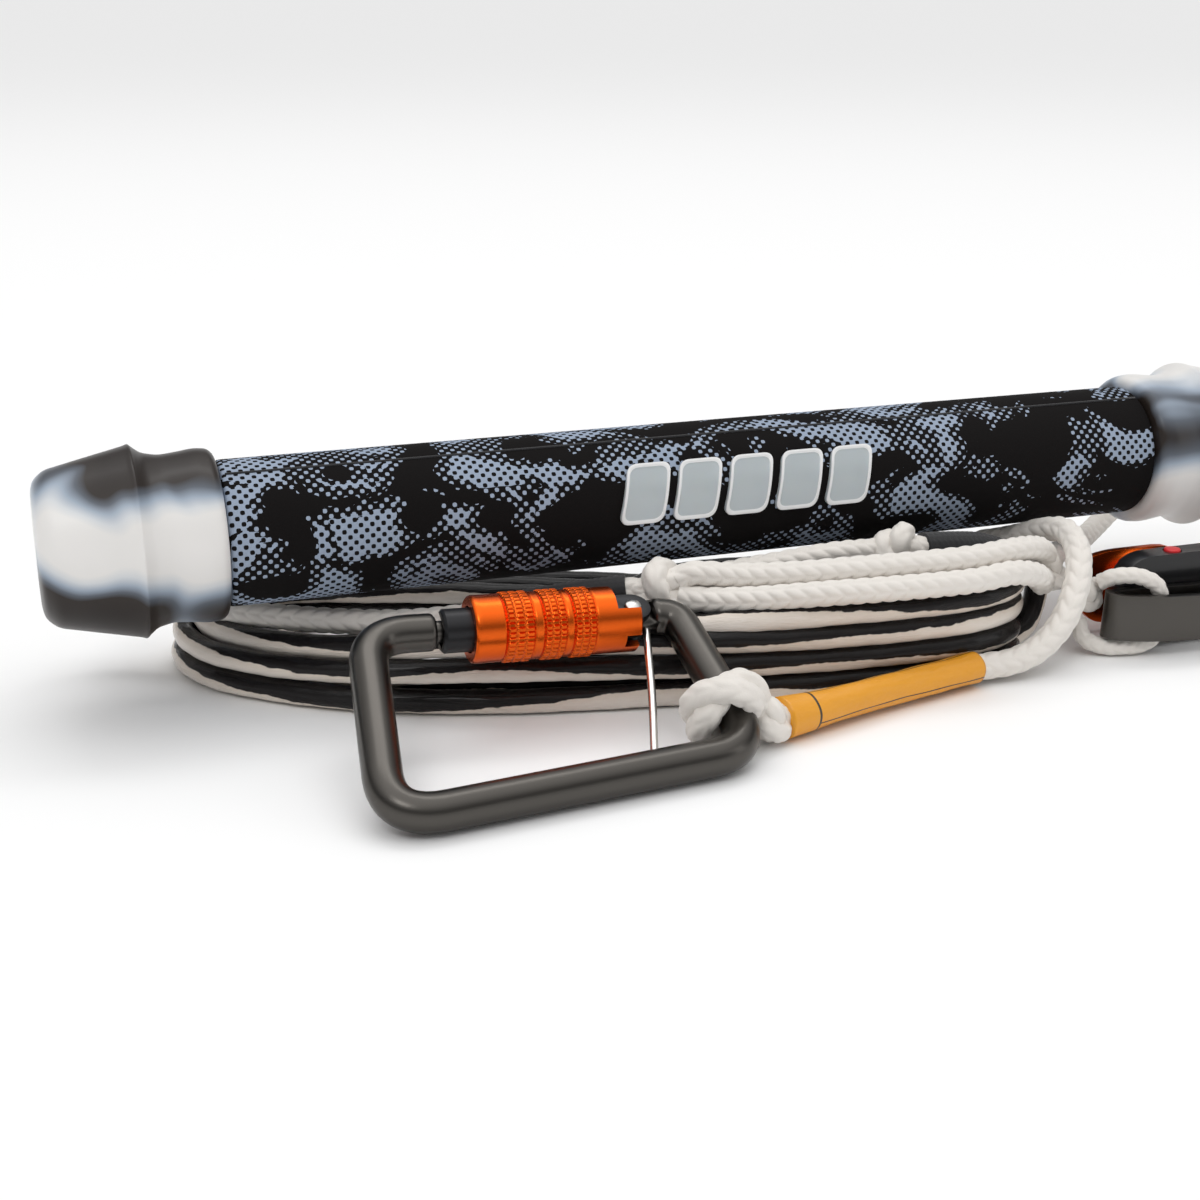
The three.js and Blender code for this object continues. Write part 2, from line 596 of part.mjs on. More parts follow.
function hitch() {
  const body = ball(HITCH_MIDDLE, 8, 5.6, 6.4, 16, 10);
  const toWorld = carabiner.matrixWorld.clone();
  const inPlane = v3(LOBE).applyMatrix4(toWorld.invert());
  const seat = ball([inPlane.x, inPlane.y, inPlane.z], LOBE_R + GAP, LOBE_R + GAP, LOBE_R + GAP, 14, 9);
  const floor = box(40, 90, -30, 40, -30, -7);
  return cut(body, rod(ROD_R + GAP), seat, floor);
}
add('hitch_knot', hitch(), M.braid, carabiner);
add('hitch_lobe', ball(LOBE, LOBE_R), M.braid);

// ---------------------------------------------------------------- line block
const STRAP_FRONT = -48.2;       // Y of the strap's front face
const STRAP_THICK = 2;
const STRAP_HALF_H = 5.5;
const STRAP_REACH = 6.5;         // from the pivot to the strap's free end
const STRAP_NOSE_UP = 2.2;       // degrees
const STRAP_PIN_R = 1.85;
const AXLE_R = 3.6;
const BEARING_R = 5.3;
const SHEAVE_R = 9.4;
const SHEAVE_GROOVE = 2.6;
const BUTTON_R = 2;
const BUTTON_Z = 20.6;           // underside of the button, on its spring
const BUTTON_Y = BODY_FRONT + BODY_THICK / 2;

// U of flat bar whose closed end curves away from the front.
function strap() {
  const rear = BODY_FRONT - 0.4;
  const t = STRAP_THICK;
  const right = BLOCK_PIVOT[0] + STRAP_REACH;
  const outer = rounded([
    [84.4, -41, 1.2], [87, -44.6, 1.6], [95, -47.2, 3], [107, STRAP_FRONT, 4], [right, STRAP_FRONT, 0.3],
    [right, rear, 0.3], [86, rear, 1],
  ]);
  const slot = rounded([
    [87.4, -41.2, 0.2], [88.6, -42.9, 1], [95.6, -45.2, 2.6], [107, STRAP_FRONT + t, 4],
    [right + 5, STRAP_FRONT + t, 0.3], [right + 5, rear - t, 0.3], [87.4, rear - t, 0.2],
  ]);
  const [low, high] = [BLOCK_PIVOT[1] - STRAP_HALF_H, BLOCK_PIVOT[1] + STRAP_HALF_H];
  const pin = disc(-55, -30, STRAP_PIN_R + GAP, 16, 'y').translate(BLOCK_PIVOT[0], 0, BLOCK_PIVOT[1]);
  return cut(upright(outer, low, high), upright(slot, low - 1, high + 1), pin);
}

function blockBody() {
  const [ax, az] = BLOCK_AXLE;
  const outline = rounded([
    [91.4, 0.9, 7], [BLOCK_PIVOT[0] + 7, 0.9, 9], [BLOCK_PIVOT[0] + 7, 22.2, 9], [91.4, 22.2, 8.5],
  ]);
  const plate = plateXZ(outline, BODY_FRONT, BODY_THICK, 8);
  const axle = disc(-50, -20, AXLE_R + GAP, 24, 'y').translate(ax, 0, az);
  const pin = disc(-50, -20, STRAP_PIN_R + GAP, 16, 'y').translate(BLOCK_PIVOT[0], 0, BLOCK_PIVOT[1]);
  const button = disc(BUTTON_Z - 1.2, 30, BUTTON_R + GAP, 16, 'z').translate(ax, BUTTON_Y, 0);
  return cut(plate, axle, pin, button);
}

function rearPlate() {
  const outline = rounded([
    [86.4, 8, 2.4], [92, 2.4, 3], [116.4, 2.4, 8.6], [116.4, 20.6, 8.6], [93.5, 20.6, 4], [86.4, 18.8, 2],
  ]);
  const plate = plateXZ(outline, PLATE_Y, PLATE_THICK);
  return cut(plate, onAxle(disc(-30, -20, AXLE_R + GAP, 24, 'y')));
}

const WHEEL_FRONT = BODY_FRONT + BODY_THICK + GAP;
const WHEEL_BACK = PLATE_Y - GAP;

function onAxle(geometry) {
  return geometry.translate(BLOCK_AXLE[0], 0, BLOCK_AXLE[1]);
}

function sheave() {
  const [a, b, r] = [WHEEL_FRONT, WHEEL_BACK, SHEAVE_R];
  const [bore, rim, middle] = [BEARING_R + GAP, 0.6, (a + b) / 2];
  return onAxle(turned([
    [a, bore], [a, r], [a + rim, r], [middle, r - SHEAVE_GROOVE], [b - rim, r], [b, r], [b, bore], [a, bore],
  ], 24, 'y'));
}

// The strap hangs a little nose up on its pin.
const strapGroup = new THREE.Group();
strapGroup.position.set(BLOCK_PIVOT[0], 0, BLOCK_PIVOT[1]);
strapGroup.rotation.y = rad(STRAP_NOSE_UP);
group.add(strapGroup);
add('block_strap', strap().translate(-BLOCK_PIVOT[0], 0, -BLOCK_PIVOT[1]), M.rod, strapGroup);
add('block_body', blockBody(), M.block);
add('block_rear_plate', rearPlate(), M.orange);
add('sheave', sheave(), M.steel);
add('sheave_bearing', onAxle(ring(WHEEL_FRONT, WHEEL_BACK, AXLE_R + GAP, BEARING_R, 20, 'y')), M.steel);
add('sheave_axle', onAxle(disc(BODY_FRONT + 0.4, PLATE_Y + PLATE_THICK + 0.8, AXLE_R, 24, 'y')), M.steel);
const pinEnds = [STRAP_FRONT - 0.2, BODY_FRONT + BODY_THICK + 0.6];
const strapPin = disc(...pinEnds, STRAP_PIN_R, 16, 'y');
add('strap_pin', strapPin.translate(BLOCK_PIVOT[0], 0, BLOCK_PIVOT[1]), M.steel);
const button = disc(BUTTON_Z, BUTTON_Z + 2.1, BUTTON_R, 16, 'z');
add('lock_button', button.translate(BLOCK_AXLE[0], BUTTON_Y, 0), M.red);
const buttonSpring = ring(BUTTON_Z - 1, BUTTON_Z - GAP, 0.9, 1.7, 14, 'z');
add('button_spring', buttonSpring.translate(BLOCK_AXLE[0], BUTTON_Y, 0), M.steel);

// Thin loop through the strap, closed by its knot.
const BLOCK_LOOP = [
  [86.2, -36.2, 16.6], [88.4, -38.8, 18.6], [93, -41.6, 19], [97.4, -42.8, 16.6], [99, -42.9, 11.8],
  [99, -42.9, 7], [97.4, -42.9, 3.4], [94, -42.8, 2.1], [90, -42.4, 2.05], [86, -41, 2.05],
  [82, -38, 3.6], [81.6, -35.4, 7.4],
];
add('block_loop', tube(BLOCK_LOOP, LOOP_R, 8), M.braid);
add('knot_loop', knot(KNOT_LOOP, 4.6, 4, 4.4,
  around(BLOCK_LOOP, LOOP_R, 8), around(END_LINE, END_BRAID_R), ball(KNOT_MAIN, 5.3, 5.2, 5.2)), M.braid);

export default group;
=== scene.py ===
"""Looks of the tow rope handle: braided and coated rope, marbled caps, a dotted camouflage grip, metal parts.

Lengths are in millimetres in the row frame, and each mesh is scaled to metres when it is made.
"""

import math

import bpy
import numpy as np
from mathutils import Matrix, Vector


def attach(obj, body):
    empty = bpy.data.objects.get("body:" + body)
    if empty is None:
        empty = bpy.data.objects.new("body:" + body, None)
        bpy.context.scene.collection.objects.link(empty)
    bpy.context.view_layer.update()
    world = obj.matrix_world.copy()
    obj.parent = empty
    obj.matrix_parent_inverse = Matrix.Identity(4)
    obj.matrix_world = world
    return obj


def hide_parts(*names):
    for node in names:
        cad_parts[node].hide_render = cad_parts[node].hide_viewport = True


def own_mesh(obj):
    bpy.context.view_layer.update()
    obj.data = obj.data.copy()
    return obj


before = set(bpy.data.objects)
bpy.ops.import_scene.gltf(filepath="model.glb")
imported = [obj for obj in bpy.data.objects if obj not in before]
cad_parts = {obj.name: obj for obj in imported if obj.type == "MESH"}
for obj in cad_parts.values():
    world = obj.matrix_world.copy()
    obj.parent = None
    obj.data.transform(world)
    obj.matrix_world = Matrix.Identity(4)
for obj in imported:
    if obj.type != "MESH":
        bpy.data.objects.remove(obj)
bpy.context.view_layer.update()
ROOT = "handle_and_lines"
TAU = 2 * math.pi


# ---------------------------------------------------------------- node helpers
class Shader:
    """A new material and short ways to add nodes to it."""

    def __init__(self, name, color, roughness, metallic=0.0, **sockets):
        self.material = bpy.data.materials.new(name)
        self.material.use_nodes = True
        self.tree = self.material.node_tree
        self.bsdf = self.tree.nodes["Principled BSDF"]
        self.bsdf.inputs["Base Color"].default_value = (*color, 1)
        self.bsdf.inputs["Roughness"].default_value = roughness
        self.bsdf.inputs["Metallic"].default_value = metallic
        for key, value in sockets.items():
            self.bsdf.inputs[key.replace("_", " ")].default_value = value

    def node(self, kind, **settings):
        n = self.tree.nodes.new(kind)
        for key, value in settings.items():
            setattr(n, key, value)
        return n

    def wire(self, source, node, socket):
        self.tree.links.new(source, node.inputs[socket])

    def math(self, operation, a, b=0.0, c=0.0):
        n = self.node("ShaderNodeMath", operation=operation)
        for i, value in enumerate((a, b, c)):
            if isinstance(value, (int, float)):
                n.inputs[i].default_value = value
            else:
                self.wire(value, n, i)
        return n.outputs[0]

    def xyz(self, source):
        n = self.node("ShaderNodeSeparateXYZ")
        self.wire(source, n, 0)
        return n.outputs

    def join(self, x, y, z=0.0):
        n = self.node("ShaderNodeCombineXYZ")
        for i, value in enumerate((x, y, z)):
            if isinstance(value, (int, float)):
                n.inputs[i].default_value = value
            else:
                self.wire(value, n, i)
        return n.outputs[0]

    def object(self):
        return self.node("ShaderNodeTexCoord").outputs["Object"]

    def uv(self):
        return self.node("ShaderNodeTexCoord").outputs["UV"]

    def noise(self, vector, scale, detail=2.0, distortion=0.0, roughness=0.5):
        n = self.node("ShaderNodeTexNoise")
        self.wire(vector, n, "Vector")
        n.inputs["Scale"].default_value = scale
        n.inputs["Detail"].default_value = detail
        n.inputs["Distortion"].default_value = distortion
        n.inputs["Roughness"].default_value = roughness
        return n.outputs["Fac"]

    def ramp(self, value, stops, interpolation="LINEAR"):
        n = self.node("ShaderNodeValToRGB")
        n.color_ramp.interpolation = interpolation
        while len(n.color_ramp.elements) < len(stops):
            n.color_ramp.elements.new(0.5)
        for element, (place, color) in zip(n.color_ramp.elements, stops):
            element.position = place
            element.color = (*color, 1)
        self.wire(value, n, 0)
        return n.outputs[0]

    def paint(self, color):
        self.wire(color, self.bsdf, "Base Color")

    def bump(self, height, strength, distance=0.0002):
        n = self.node("ShaderNodeBump")
        n.inputs["Strength"].default_value = strength
        n.inputs["Distance"].default_value = distance
        self.wire(height, n, "Height")
        self.wire(n.outputs[0], self.bsdf, "Normal")


# ---------------------------------------------------------------- materials
BLACK = (0.006, 0.005, 0.005)
PRINT = (0.31, 0.37, 0.47)
AXIS_HEIGHT = 0.038  # of the handle above the table, in metres as materials see it


def foam_material():
    """Black foam with a printed camouflage made of dots in a lattice at 45 degrees."""
    s = Shader("foam", BLACK, 0.95, Specular_IOR_Level=0.15)
    x, y, z = s.xyz(s.object())
    radius, rows_round = 0.016, 41
    small_dots_from, large_dots_from = 0.497, 0.572
    facing = s.math("ARCTAN2", s.math("SUBTRACT", z, AXIS_HEIGHT), s.math("MULTIPLY", y, -1.0))
    across = s.math("MULTIPLY", x, rows_round / radius)
    around = s.math("MULTIPLY", facing, rows_round)
    one_way = s.math("COSINE", s.math("ADD", across, around))
    other_way = s.math("COSINE", s.math("SUBTRACT", across, around))
    dots = s.math("MULTIPLY", s.math("ADD", one_way, other_way), 0.25)
    blobs = s.noise(s.join(s.math("MULTIPLY_ADD", x, 0.66, 0.31), y, z), 68.0, 3.0, 1.0, 0.5)
    level = s.ramp(blobs, [(0.0, (0, 0, 0)), (small_dots_from, (0.33, 0.33, 0.33)),
                           (large_dots_from, (0.64, 0.64, 0.64))], "CONSTANT")
    shown = s.math("GREATER_THAN", s.math("ADD", dots, level), 0.5)
    s.paint(s.ramp(shown, [(0.0, BLACK), (0.9, PRINT)]))
    s.bump(s.noise(s.object(), 2600.0, 2.0), 0.35)
    return s.material


def cap_material():
    """Satin rubber marbled in bands of black-brown and white, blue-grey where they meet."""
    s = Shader("cap_rubber", (0.8, 0.8, 0.8), 0.36, Specular_IOR_Level=0.25,
               Coat_Weight=0.1, Coat_Roughness=0.2)
    x, _, z = s.xyz(s.object())
    band_spacing, slope, offset = 0.034, 11.6, 1.57
    swirl = s.noise(s.object(), 24.0, 1.6, 1.3, 0.45)
    height = s.math("MULTIPLY_ADD", s.math("SUBTRACT", z, AXIS_HEIGHT), TAU / band_spacing, -0.65)
    bands = s.math("COSINE", s.math("ADD", height, s.math("MULTIPLY_ADD", x, slope, offset)))
    level = s.math("ADD", s.math("MULTIPLY_ADD", bands, 0.35, 0.45),
                   s.math("MULTIPLY_ADD", swirl, 1.5, -0.75))
    s.paint(s.ramp(level, [
        (0.0, (0.016, 0.011, 0.009)), (0.27, (0.024, 0.018, 0.015)), (0.36, (0.10, 0.115, 0.14)),
        (0.47, (0.33, 0.39, 0.47)), (0.59, (0.64, 0.66, 0.68)), (0.69, (0.78, 0.765, 0.745)),
        (1.0, (0.82, 0.80, 0.78)),
    ]))
    return s.material


def two_tone_material():
    """Glossy coated rope, cream on one half and black on the other, with a ragged line between."""
    s = Shader("coated_line", (0.6, 0.55, 0.5), 0.2, Specular_IOR_Level=0.12,
               Coat_Weight=0.22, Coat_Roughness=0.06)
    u, v, _ = s.xyz(s.uv())
    ragged = s.noise(s.join(s.math("MULTIPLY", u, 2.0), s.math("MULTIPLY", v, 0.5)), 4.0, 3.0)
    slow = s.noise(s.join(0.0, v), 0.16, 0.0)
    turn = s.math("MULTIPLY_ADD", slow, 0.55, -0.33)
    phase = s.math("MULTIPLY", s.math("ADD", u, turn), TAU)
    side = s.math("ADD", s.math("SINE", phase), s.math("MULTIPLY", s.math("SUBTRACT", ragged, 0.5), 0.6))
    mask = s.math("MULTIPLY_ADD", side, 0.5, 0.5)
    s.paint(s.ramp(mask, [(0.0, (0.007, 0.006, 0.006)), (0.485, (0.010, 0.008, 0.008)),
                          (0.515, (0.68, 0.60, 0.52)), (1.0, (0.80, 0.74, 0.68))]))
    streaks = s.noise(s.join(s.math("MULTIPLY", u, 9.0), s.math("MULTIPLY", v, 0.7)), 6.0, 3.0)
    s.bump(streaks, 0.5, 0.0005)
    return s.material


def label_material():
    """Yellow film with a thin dark border: lines along it and a ring near its wide end."""
    film_color = (0.76, 0.32, 0.008)
    ring_at, lines_round = 0.72, 3.0
    s = Shader("label_film", film_color, 0.4, Coat_Weight=0.2, Coat_Roughness=0.2)
    u, v, _ = s.xyz(s.uv())
    share = s.math("FRACT", s.math("MULTIPLY", u, lines_round))
    lengthwise = s.math("ABSOLUTE", s.math("SUBTRACT", share, 0.16))
    ring = s.math("ABSOLUTE", s.math("SUBTRACT", v, ring_at))
    past_ring = s.math("GREATER_THAN", v, ring_at)
    line = s.math("MAXIMUM", s.math("MULTIPLY", s.math("LESS_THAN", lengthwise, 0.022), past_ring),
                  s.math("LESS_THAN", ring, 0.03))
    wrinkle = s.noise(s.join(s.math("MULTIPLY", u, 5.0), v), 3.0, 2.0)
    s.paint(s.ramp(line, [(0.0, film_color), (1.0, (0.03, 0.02, 0.01))]))
    s.bump(wrinkle, 0.5, 0.0006)
    return s.material


def plain(name, color, roughness, metallic=0.0, grain=0.0, **sockets):
    """One colour, with a fine grain if asked for."""
    s = Shader(name, color, roughness, metallic, **sockets)
    if grain:
        s.bump(s.noise(s.object(), 5200.0, 1.0), grain, 0.00006)
    return s.material


def braid_material(name, color):
    """Soft fibre of one colour with fine lengthwise hairs."""
    s = Shader(name, color, 0.78, Sheen_Weight=0.25, Sheen_Roughness=0.5)
    u, v, _ = s.xyz(s.uv())
    hairs = s.noise(s.join(s.math("MULTIPLY", u, 30.0), s.math("MULTIPLY", v, 12.0)), 3.0, 2.0)
    s.bump(hairs, 0.45, 0.0002)
    return s.material


MATERIALS = {
    "eva_foam": foam_material(),
    "cap_rubber": cap_material(),
    "coated_line": two_tone_material(),
    "label_film": label_material(),
    "white_braid": braid_material("white_braid", (0.78, 0.74, 0.69)),
    "chafe_sleeve": braid_material("chafe_sleeve", (0.012, 0.012, 0.014)),
    "badge_silicone": plain("badge_silicone", (0.50, 0.51, 0.52), 0.3,
                            Coat_Weight=0.3, Subsurface_Weight=0.15),
    "badge_rim": plain("badge_rim", (0.80, 0.80, 0.80), 0.35),
    "dark_anodised": plain("dark_anodised", (0.088, 0.082, 0.075), 0.28, 1.0, 0.25),
    "black_anodised": plain("black_anodised", (0.022, 0.022, 0.024), 0.32, 0.7, 0.2),
    "orange_anodised": plain("orange_anodised", (0.78, 0.115, 0.012), 0.27, 1.0, 0.15),
    "steel": plain("steel", (0.66, 0.65, 0.63), 0.24, 1.0),
    "block_black": plain("block_black", (0.010, 0.010, 0.011), 0.3,
                         Specular_IOR_Level=0.3, Coat_Weight=0.3, Coat_Roughness=0.1),
    "red_plastic": plain("red_plastic", (0.62, 0.015, 0.02), 0.3),
    "aluminium_tube": plain("aluminium_tube", (0.62, 0.63, 0.65), 0.35, 0.9),
    "float_foam": plain("float_foam", (0.85, 0.82, 0.74), 0.9),
    "bushing_plastic": plain("bushing_plastic", (0.03, 0.03, 0.032), 0.6),
}


# ---------------------------------------------------------------- geometry helpers
def make(name, verts, faces, uv=None):
    """Mesh object from millimetre vertices and faces."""
    mesh = bpy.data.meshes.new(name)
    mesh.from_pydata((np.asarray(verts, float) * 0.001).tolist(), [], faces)
    if uv is not None:
        layer = mesh.uv_layers.new(name="UVMap")
        layer.data.foreach_set("uv", np.asarray(uv, np.float32).ravel())
    mesh.shade_smooth()
    obj = bpy.data.objects.new(name, mesh)
    bpy.context.collection.objects.link(obj)
    return obj


def place(obj, slot, *nodes, body=ROOT, look=None):
    """Gives a piece the material of its slot, or of look if given, puts it on a body and lets it stand for
    CAD nodes.
    """
    obj.data.materials.clear()
    obj.data.materials.append(MATERIALS[look or slot])
    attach(obj, body)
    if nodes:
        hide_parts(*nodes)
    return obj


def smooth(points, step=0.5):
    """Even points along a centripetal curve through the given ones."""
    p = np.array(points, float)
    p = np.vstack([2 * p[0] - p[1], p, 2 * p[-1] - p[-2]])
    pieces = []
    for i in range(1, len(p) - 2):
        a, b, c, d = p[i - 1:i + 3]
        t0 = 0.0
        t1 = t0 + math.sqrt(np.linalg.norm(b - a))
        t2 = t1 + math.sqrt(np.linalg.norm(c - b))
        t3 = t2 + math.sqrt(np.linalg.norm(d - c))
        n = max(6, int(np.linalg.norm(c - b) / 0.2))
        t = np.linspace(t1, t2, n, endpoint=False)[:, None]
        a1 = (t1 - t) / (t1 - t0) * a + (t - t0) / (t1 - t0) * b
        a2 = (t2 - t) / (t2 - t1) * b + (t - t1) / (t2 - t1) * c
        a3 = (t3 - t) / (t3 - t2) * c + (t - t2) / (t3 - t2) * d
        b1 = (t2 - t) / (t2 - t0) * a1 + (t - t0) / (t2 - t0) * a2
        b2 = (t3 - t) / (t3 - t1) * a2 + (t - t1) / (t3 - t1) * a3
        pieces.append((t2 - t) / (t2 - t1) * b1 + (t - t1) / (t2 - t1) * b2)
    pieces.append(p[-2:-1])
    return evenly(np.vstack(pieces), step)


def along(path):
    """Distance from the start to each point."""
    return np.concatenate([[0], np.cumsum(np.linalg.norm(np.diff(path, axis=0), axis=1))])


def evenly(path, step):
    """The same path with points about a step apart."""
    s = along(path)
    at = np.linspace(0, s[-1], max(3, int(round(s[-1] / step)) + 1))
    return np.stack([np.interp(at, s, path[:, i]) for i in range(3)], 1)


def grid_faces(rows, sides, closed_rows=False):
    """Quads between neighbouring rings of vertices."""
    faces = []
    for i in range(rows if closed_rows else rows - 1):
        n = (i + 1) % rows
        for j in range(sides):
            k = (j + 1) % sides
            faces.append((i * sides + j, i * sides + k, n * sides + k, n * sides + j))
    return faces


def sweep(name, path, radius, sides=24, relief=None, flat=(1.0, 1.0), ends=True):
    """Tube along a path. relief(angle, length) adds to its radius; radius may vary along it."""
    path = np.asarray(path, float)
    n = len(path)
    tangent = np.gradient(path, axis=0)
    tangent /= np.linalg.norm(tangent, axis=1)[:, None]
    normal = np.zeros_like(path)
    start = np.cross(tangent[0], (0.0, 0.0, 1.0))
    if np.linalg.norm(start) < 0.2:
        start = np.cross(tangent[0], (0.0, 1.0, 0.0))
    normal[0] = start / np.linalg.norm(start)
    for i in range(1, n):
        m = normal[i - 1] - tangent[i] * np.dot(normal[i - 1], tangent[i])
        normal[i] = m / np.linalg.norm(m)
    other = np.cross(tangent, normal)
    s = along(path)
    angle = np.arange(sides) * TAU / sides
    r = np.broadcast_to(np.asarray(radius, float), (n,))[:, None] + np.zeros((1, sides))
    if relief is not None:
        r = r + relief(angle[None, :], s[:, None])
    ring = (normal[:, None, :] * np.cos(angle)[None, :, None] * flat[0]
            + other[:, None, :] * np.sin(angle)[None, :, None] * flat[1])
    verts = (path[:, None, :] + ring * r[:, :, None]).reshape(-1, 3)
    faces = grid_faces(n, sides)
    u = np.arange(sides + 1) / sides
    uv = np.empty((n - 1, sides, 4, 2), np.float32)
    uv[:, :, 0, 0] = uv[:, :, 3, 0] = u[:-1][None, :]
    uv[:, :, 1, 0] = uv[:, :, 2, 0] = u[1:][None, :]
    uv[:, :, 0, 1] = uv[:, :, 1, 1] = s[:-1, None] / 10
    uv[:, :, 2, 1] = uv[:, :, 3, 1] = s[1:, None] / 10
    uv = uv.reshape(-1, 2)
    if ends:
        faces.append(tuple(reversed(range(sides))))
        faces.append(tuple((n - 1) * sides + j for j in range(sides)))
        uv = np.vstack([uv, np.zeros((2 * sides, 2), np.float32)])
    return make(name, verts, faces, uv)


def braid(radius, columns=6, pitch=None, depth=None):
    """Relief of a plait: columns of slanting strands, each column leaning against the next."""
    depth = depth or radius * 0.17
    pitch = pitch or radius * 1.3

    def relief(angle, s):
        around = angle * columns / TAU
        column = np.floor(around)
        across = around - column
        lean = np.where(column % 2 < 1, across, 1 - across)
        strand = (s / pitch + 0.8 * lean) % 1.0
        bulge = np.sin(np.pi * strand) ** 0.6 * (0.4 + 0.6 * np.sin(np.pi * across) ** 0.6)
        return depth * (bulge - 0.66)

    return relief


def turned(name, profile, axis="x", segments=96, relief=None, centre=(0, 0, 0), closed=False):
    """Profile of [along, radius] pairs turned about an axis through centre."""
    p = np.array(profile, float)
    angle = np.arange(segments) * TAU / segments
    a = np.broadcast_to(p[:, :1], (len(p), segments))
    r = np.broadcast_to(p[:, 1:], (len(p), segments)).copy()
    if relief is not None:
        r += relief(angle[None, :], a)
    c, s = r * np.cos(angle), r * np.sin(angle)
    order = {"x": (a, c, s), "y": (s, a, c), "z": (c, s, a)}[axis]
    verts = np.stack(order, 2).reshape(-1, 3) + np.array(centre, float)
    faces = grid_faces(len(p), segments, closed)
    if not closed:
        faces.append(tuple(reversed(range(segments))))
        faces.append(tuple((len(p) - 1) * segments + j for j in range(segments)))
    return make(name, verts, faces)


def fillet(profile, radius, steps=4):
    """Rounds the inner corners of an open profile."""
    p = np.array(profile, float)
    out = [p[0]]
    for i in range(1, len(p) - 1):
        into, away = p[i - 1] - p[i], p[i + 1] - p[i]
        reach = min(radius, np.linalg.norm(into) * 0.45, np.linalg.norm(away) * 0.45)
        a = p[i] + into / np.linalg.norm(into) * reach
        b = p[i] + away / np.linalg.norm(away) * reach
        for t in np.linspace(0, 1, steps):
            out.append((1 - t) ** 2 * a + 2 * t * (1 - t) * p[i] + t * t * b)
    return np.array(out + [p[-1]])


def block(lo, hi):
    """Box between two corners."""
    x, y, z = zip(lo, hi)
    verts = [(x[i], y[j], z[k]) for i in (0, 1) for j in (0, 1) for k in (0, 1)]
    faces = [(0, 1, 3, 2), (4, 6, 7, 5), (0, 4, 5, 1), (2, 3, 7, 6), (0, 2, 6, 4), (1, 5, 7, 3)]
    return make("cutter", verts, faces)


def bake(obj):
    """Applies an object's modifiers to its mesh."""
    depsgraph = bpy.context.evaluated_depsgraph_get()
    mesh = bpy.data.meshes.new_from_object(obj.evaluated_get(depsgraph))
    obj.modifiers.clear()
    obj.data = mesh


def carve(obj, *cutters):
    """Cuts the other solids out of obj and removes them."""
    for cutter in cutters:
        m = obj.modifiers.new("cut", "BOOLEAN")
        m.operation = "DIFFERENCE"
        m.solver = "EXACT"
        m.object = cutter
    bake(obj)
    for cutter in cutters:
        bpy.data.objects.remove(cutter)
    return obj


def by_angle(obj, degrees=32):
    """Smooth shading with sharp edges above an angle."""
    obj.data.shade_smooth()
    obj.data.set_sharp_from_angle(angle=math.radians(degrees))
    return obj


def refined(node, slot, body=ROOT, bevel=0.3, look=None):
    """Copy of a CAD node with softened edges, in its place."""
    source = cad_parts[node]
    obj = bpy.data.objects.new("look_" + node, source.data.copy())
    bpy.context.collection.objects.link(obj)
    weld = obj.modifiers.new("weld", "WELD")
    weld.merge_threshold = 0.00001
    if bevel:
        m = obj.modifiers.new("bevel", "BEVEL")
        m.width = bevel * 0.001
        m.segments = 3
        m.limit_method = "ANGLE"
        m.angle_limit = math.radians(40)
    bake(obj)
    by_angle(obj, 38)
    return place(obj, slot, node, body=body, look=look)


def moved(obj, matrix):
    """The piece itself, with its mesh moved."""
    obj.data.transform(matrix)
    return obj


# ---------------------------------------------------------------- handle
HANDLE_Z = 38.0
GRIP_R = 16.0
GRIP_HALF = 113.5
CORE_R = 13.2  # inner edge of the foam and the caps
CAP_END = 152.0
CAP_LIP = 131.3  # the sharp edge of the cap's flare

grip_profile = fillet([(-GRIP_HALF, CORE_R), (-GRIP_HALF, GRIP_R), (GRIP_HALF, GRIP_R), (GRIP_HALF, CORE_R)],
                      1.2, 5)
grip = turned("grip", grip_profile, segments=128, centre=(0, 0, HANDLE_Z))
place(by_angle(grip, 50), "eva_foam", "grip_sleeve")

# The foam's glued seam, a fine raised line along the top.
SEAM_Y, SEAM_UP, SEAM_R = -6.2, 14.82, 0.28
seam_path = [(x, SEAM_Y, HANDLE_Z + SEAM_UP) for x in np.linspace(-GRIP_HALF + 1, GRIP_HALF - 1, 40)]
place(sweep("grip_seam", seam_path, SEAM_R, 8), "eva_foam", look="chafe_sleeve")

# The way a leg takes through the right cap, from the tube to the back.
PORT = [(137.4, 0, 38), (141.5, 0.9, 37.8), (144.6, 4, 37.2), (145.6, 9, 36), (145.6, 15, 34)]
PORT_MOUTH, PORT_R = (145.2, 24, 28.0), 3.2


def mirror(points, side):
    """The points themselves for side 1, and those across the middle of the handle for side -1."""
    return [(side * x, y, z) for x, y, z in points]


def end_cap(side, word):
    """Flared rubber cap with a waist behind its lip and a port for the leg."""
    inner = GRIP_HALF + 0.3
    outline = [
        (CAP_END, 0.01), (CAP_END, 12.0), (CAP_END - 0.6, 14.6), (CAP_END - 3, 16.7),
        (CAP_LIP + 9, 18.7), (CAP_LIP + 1.0, 20.5), (CAP_LIP, 20.9), (CAP_LIP - 0.6, 20.3),
        (CAP_LIP - 2.4, 18.8), (CAP_LIP - 6, 18.0), (CAP_LIP - 10, 18.4),
        (inner + 4, 18.9), (inner + 1.2, 18.6), (inner, 17.4), (inner, CORE_R),
    ]
    profile = fillet([(side * a, r) for a, r in outline], 1.3, 5)
    body = turned("cap_" + word, profile, segments=128, centre=(0, 0, HANDLE_Z))
    hole = sweep("port", smooth(mirror(PORT + [PORT_MOUTH], side), 1.0), PORT_R, 24)
    carve(body, hole)
    place(by_angle(body, 45), "cap_rubber", f"end_cap_{word}")


end_cap(-1, "left")
end_cap(1, "right")

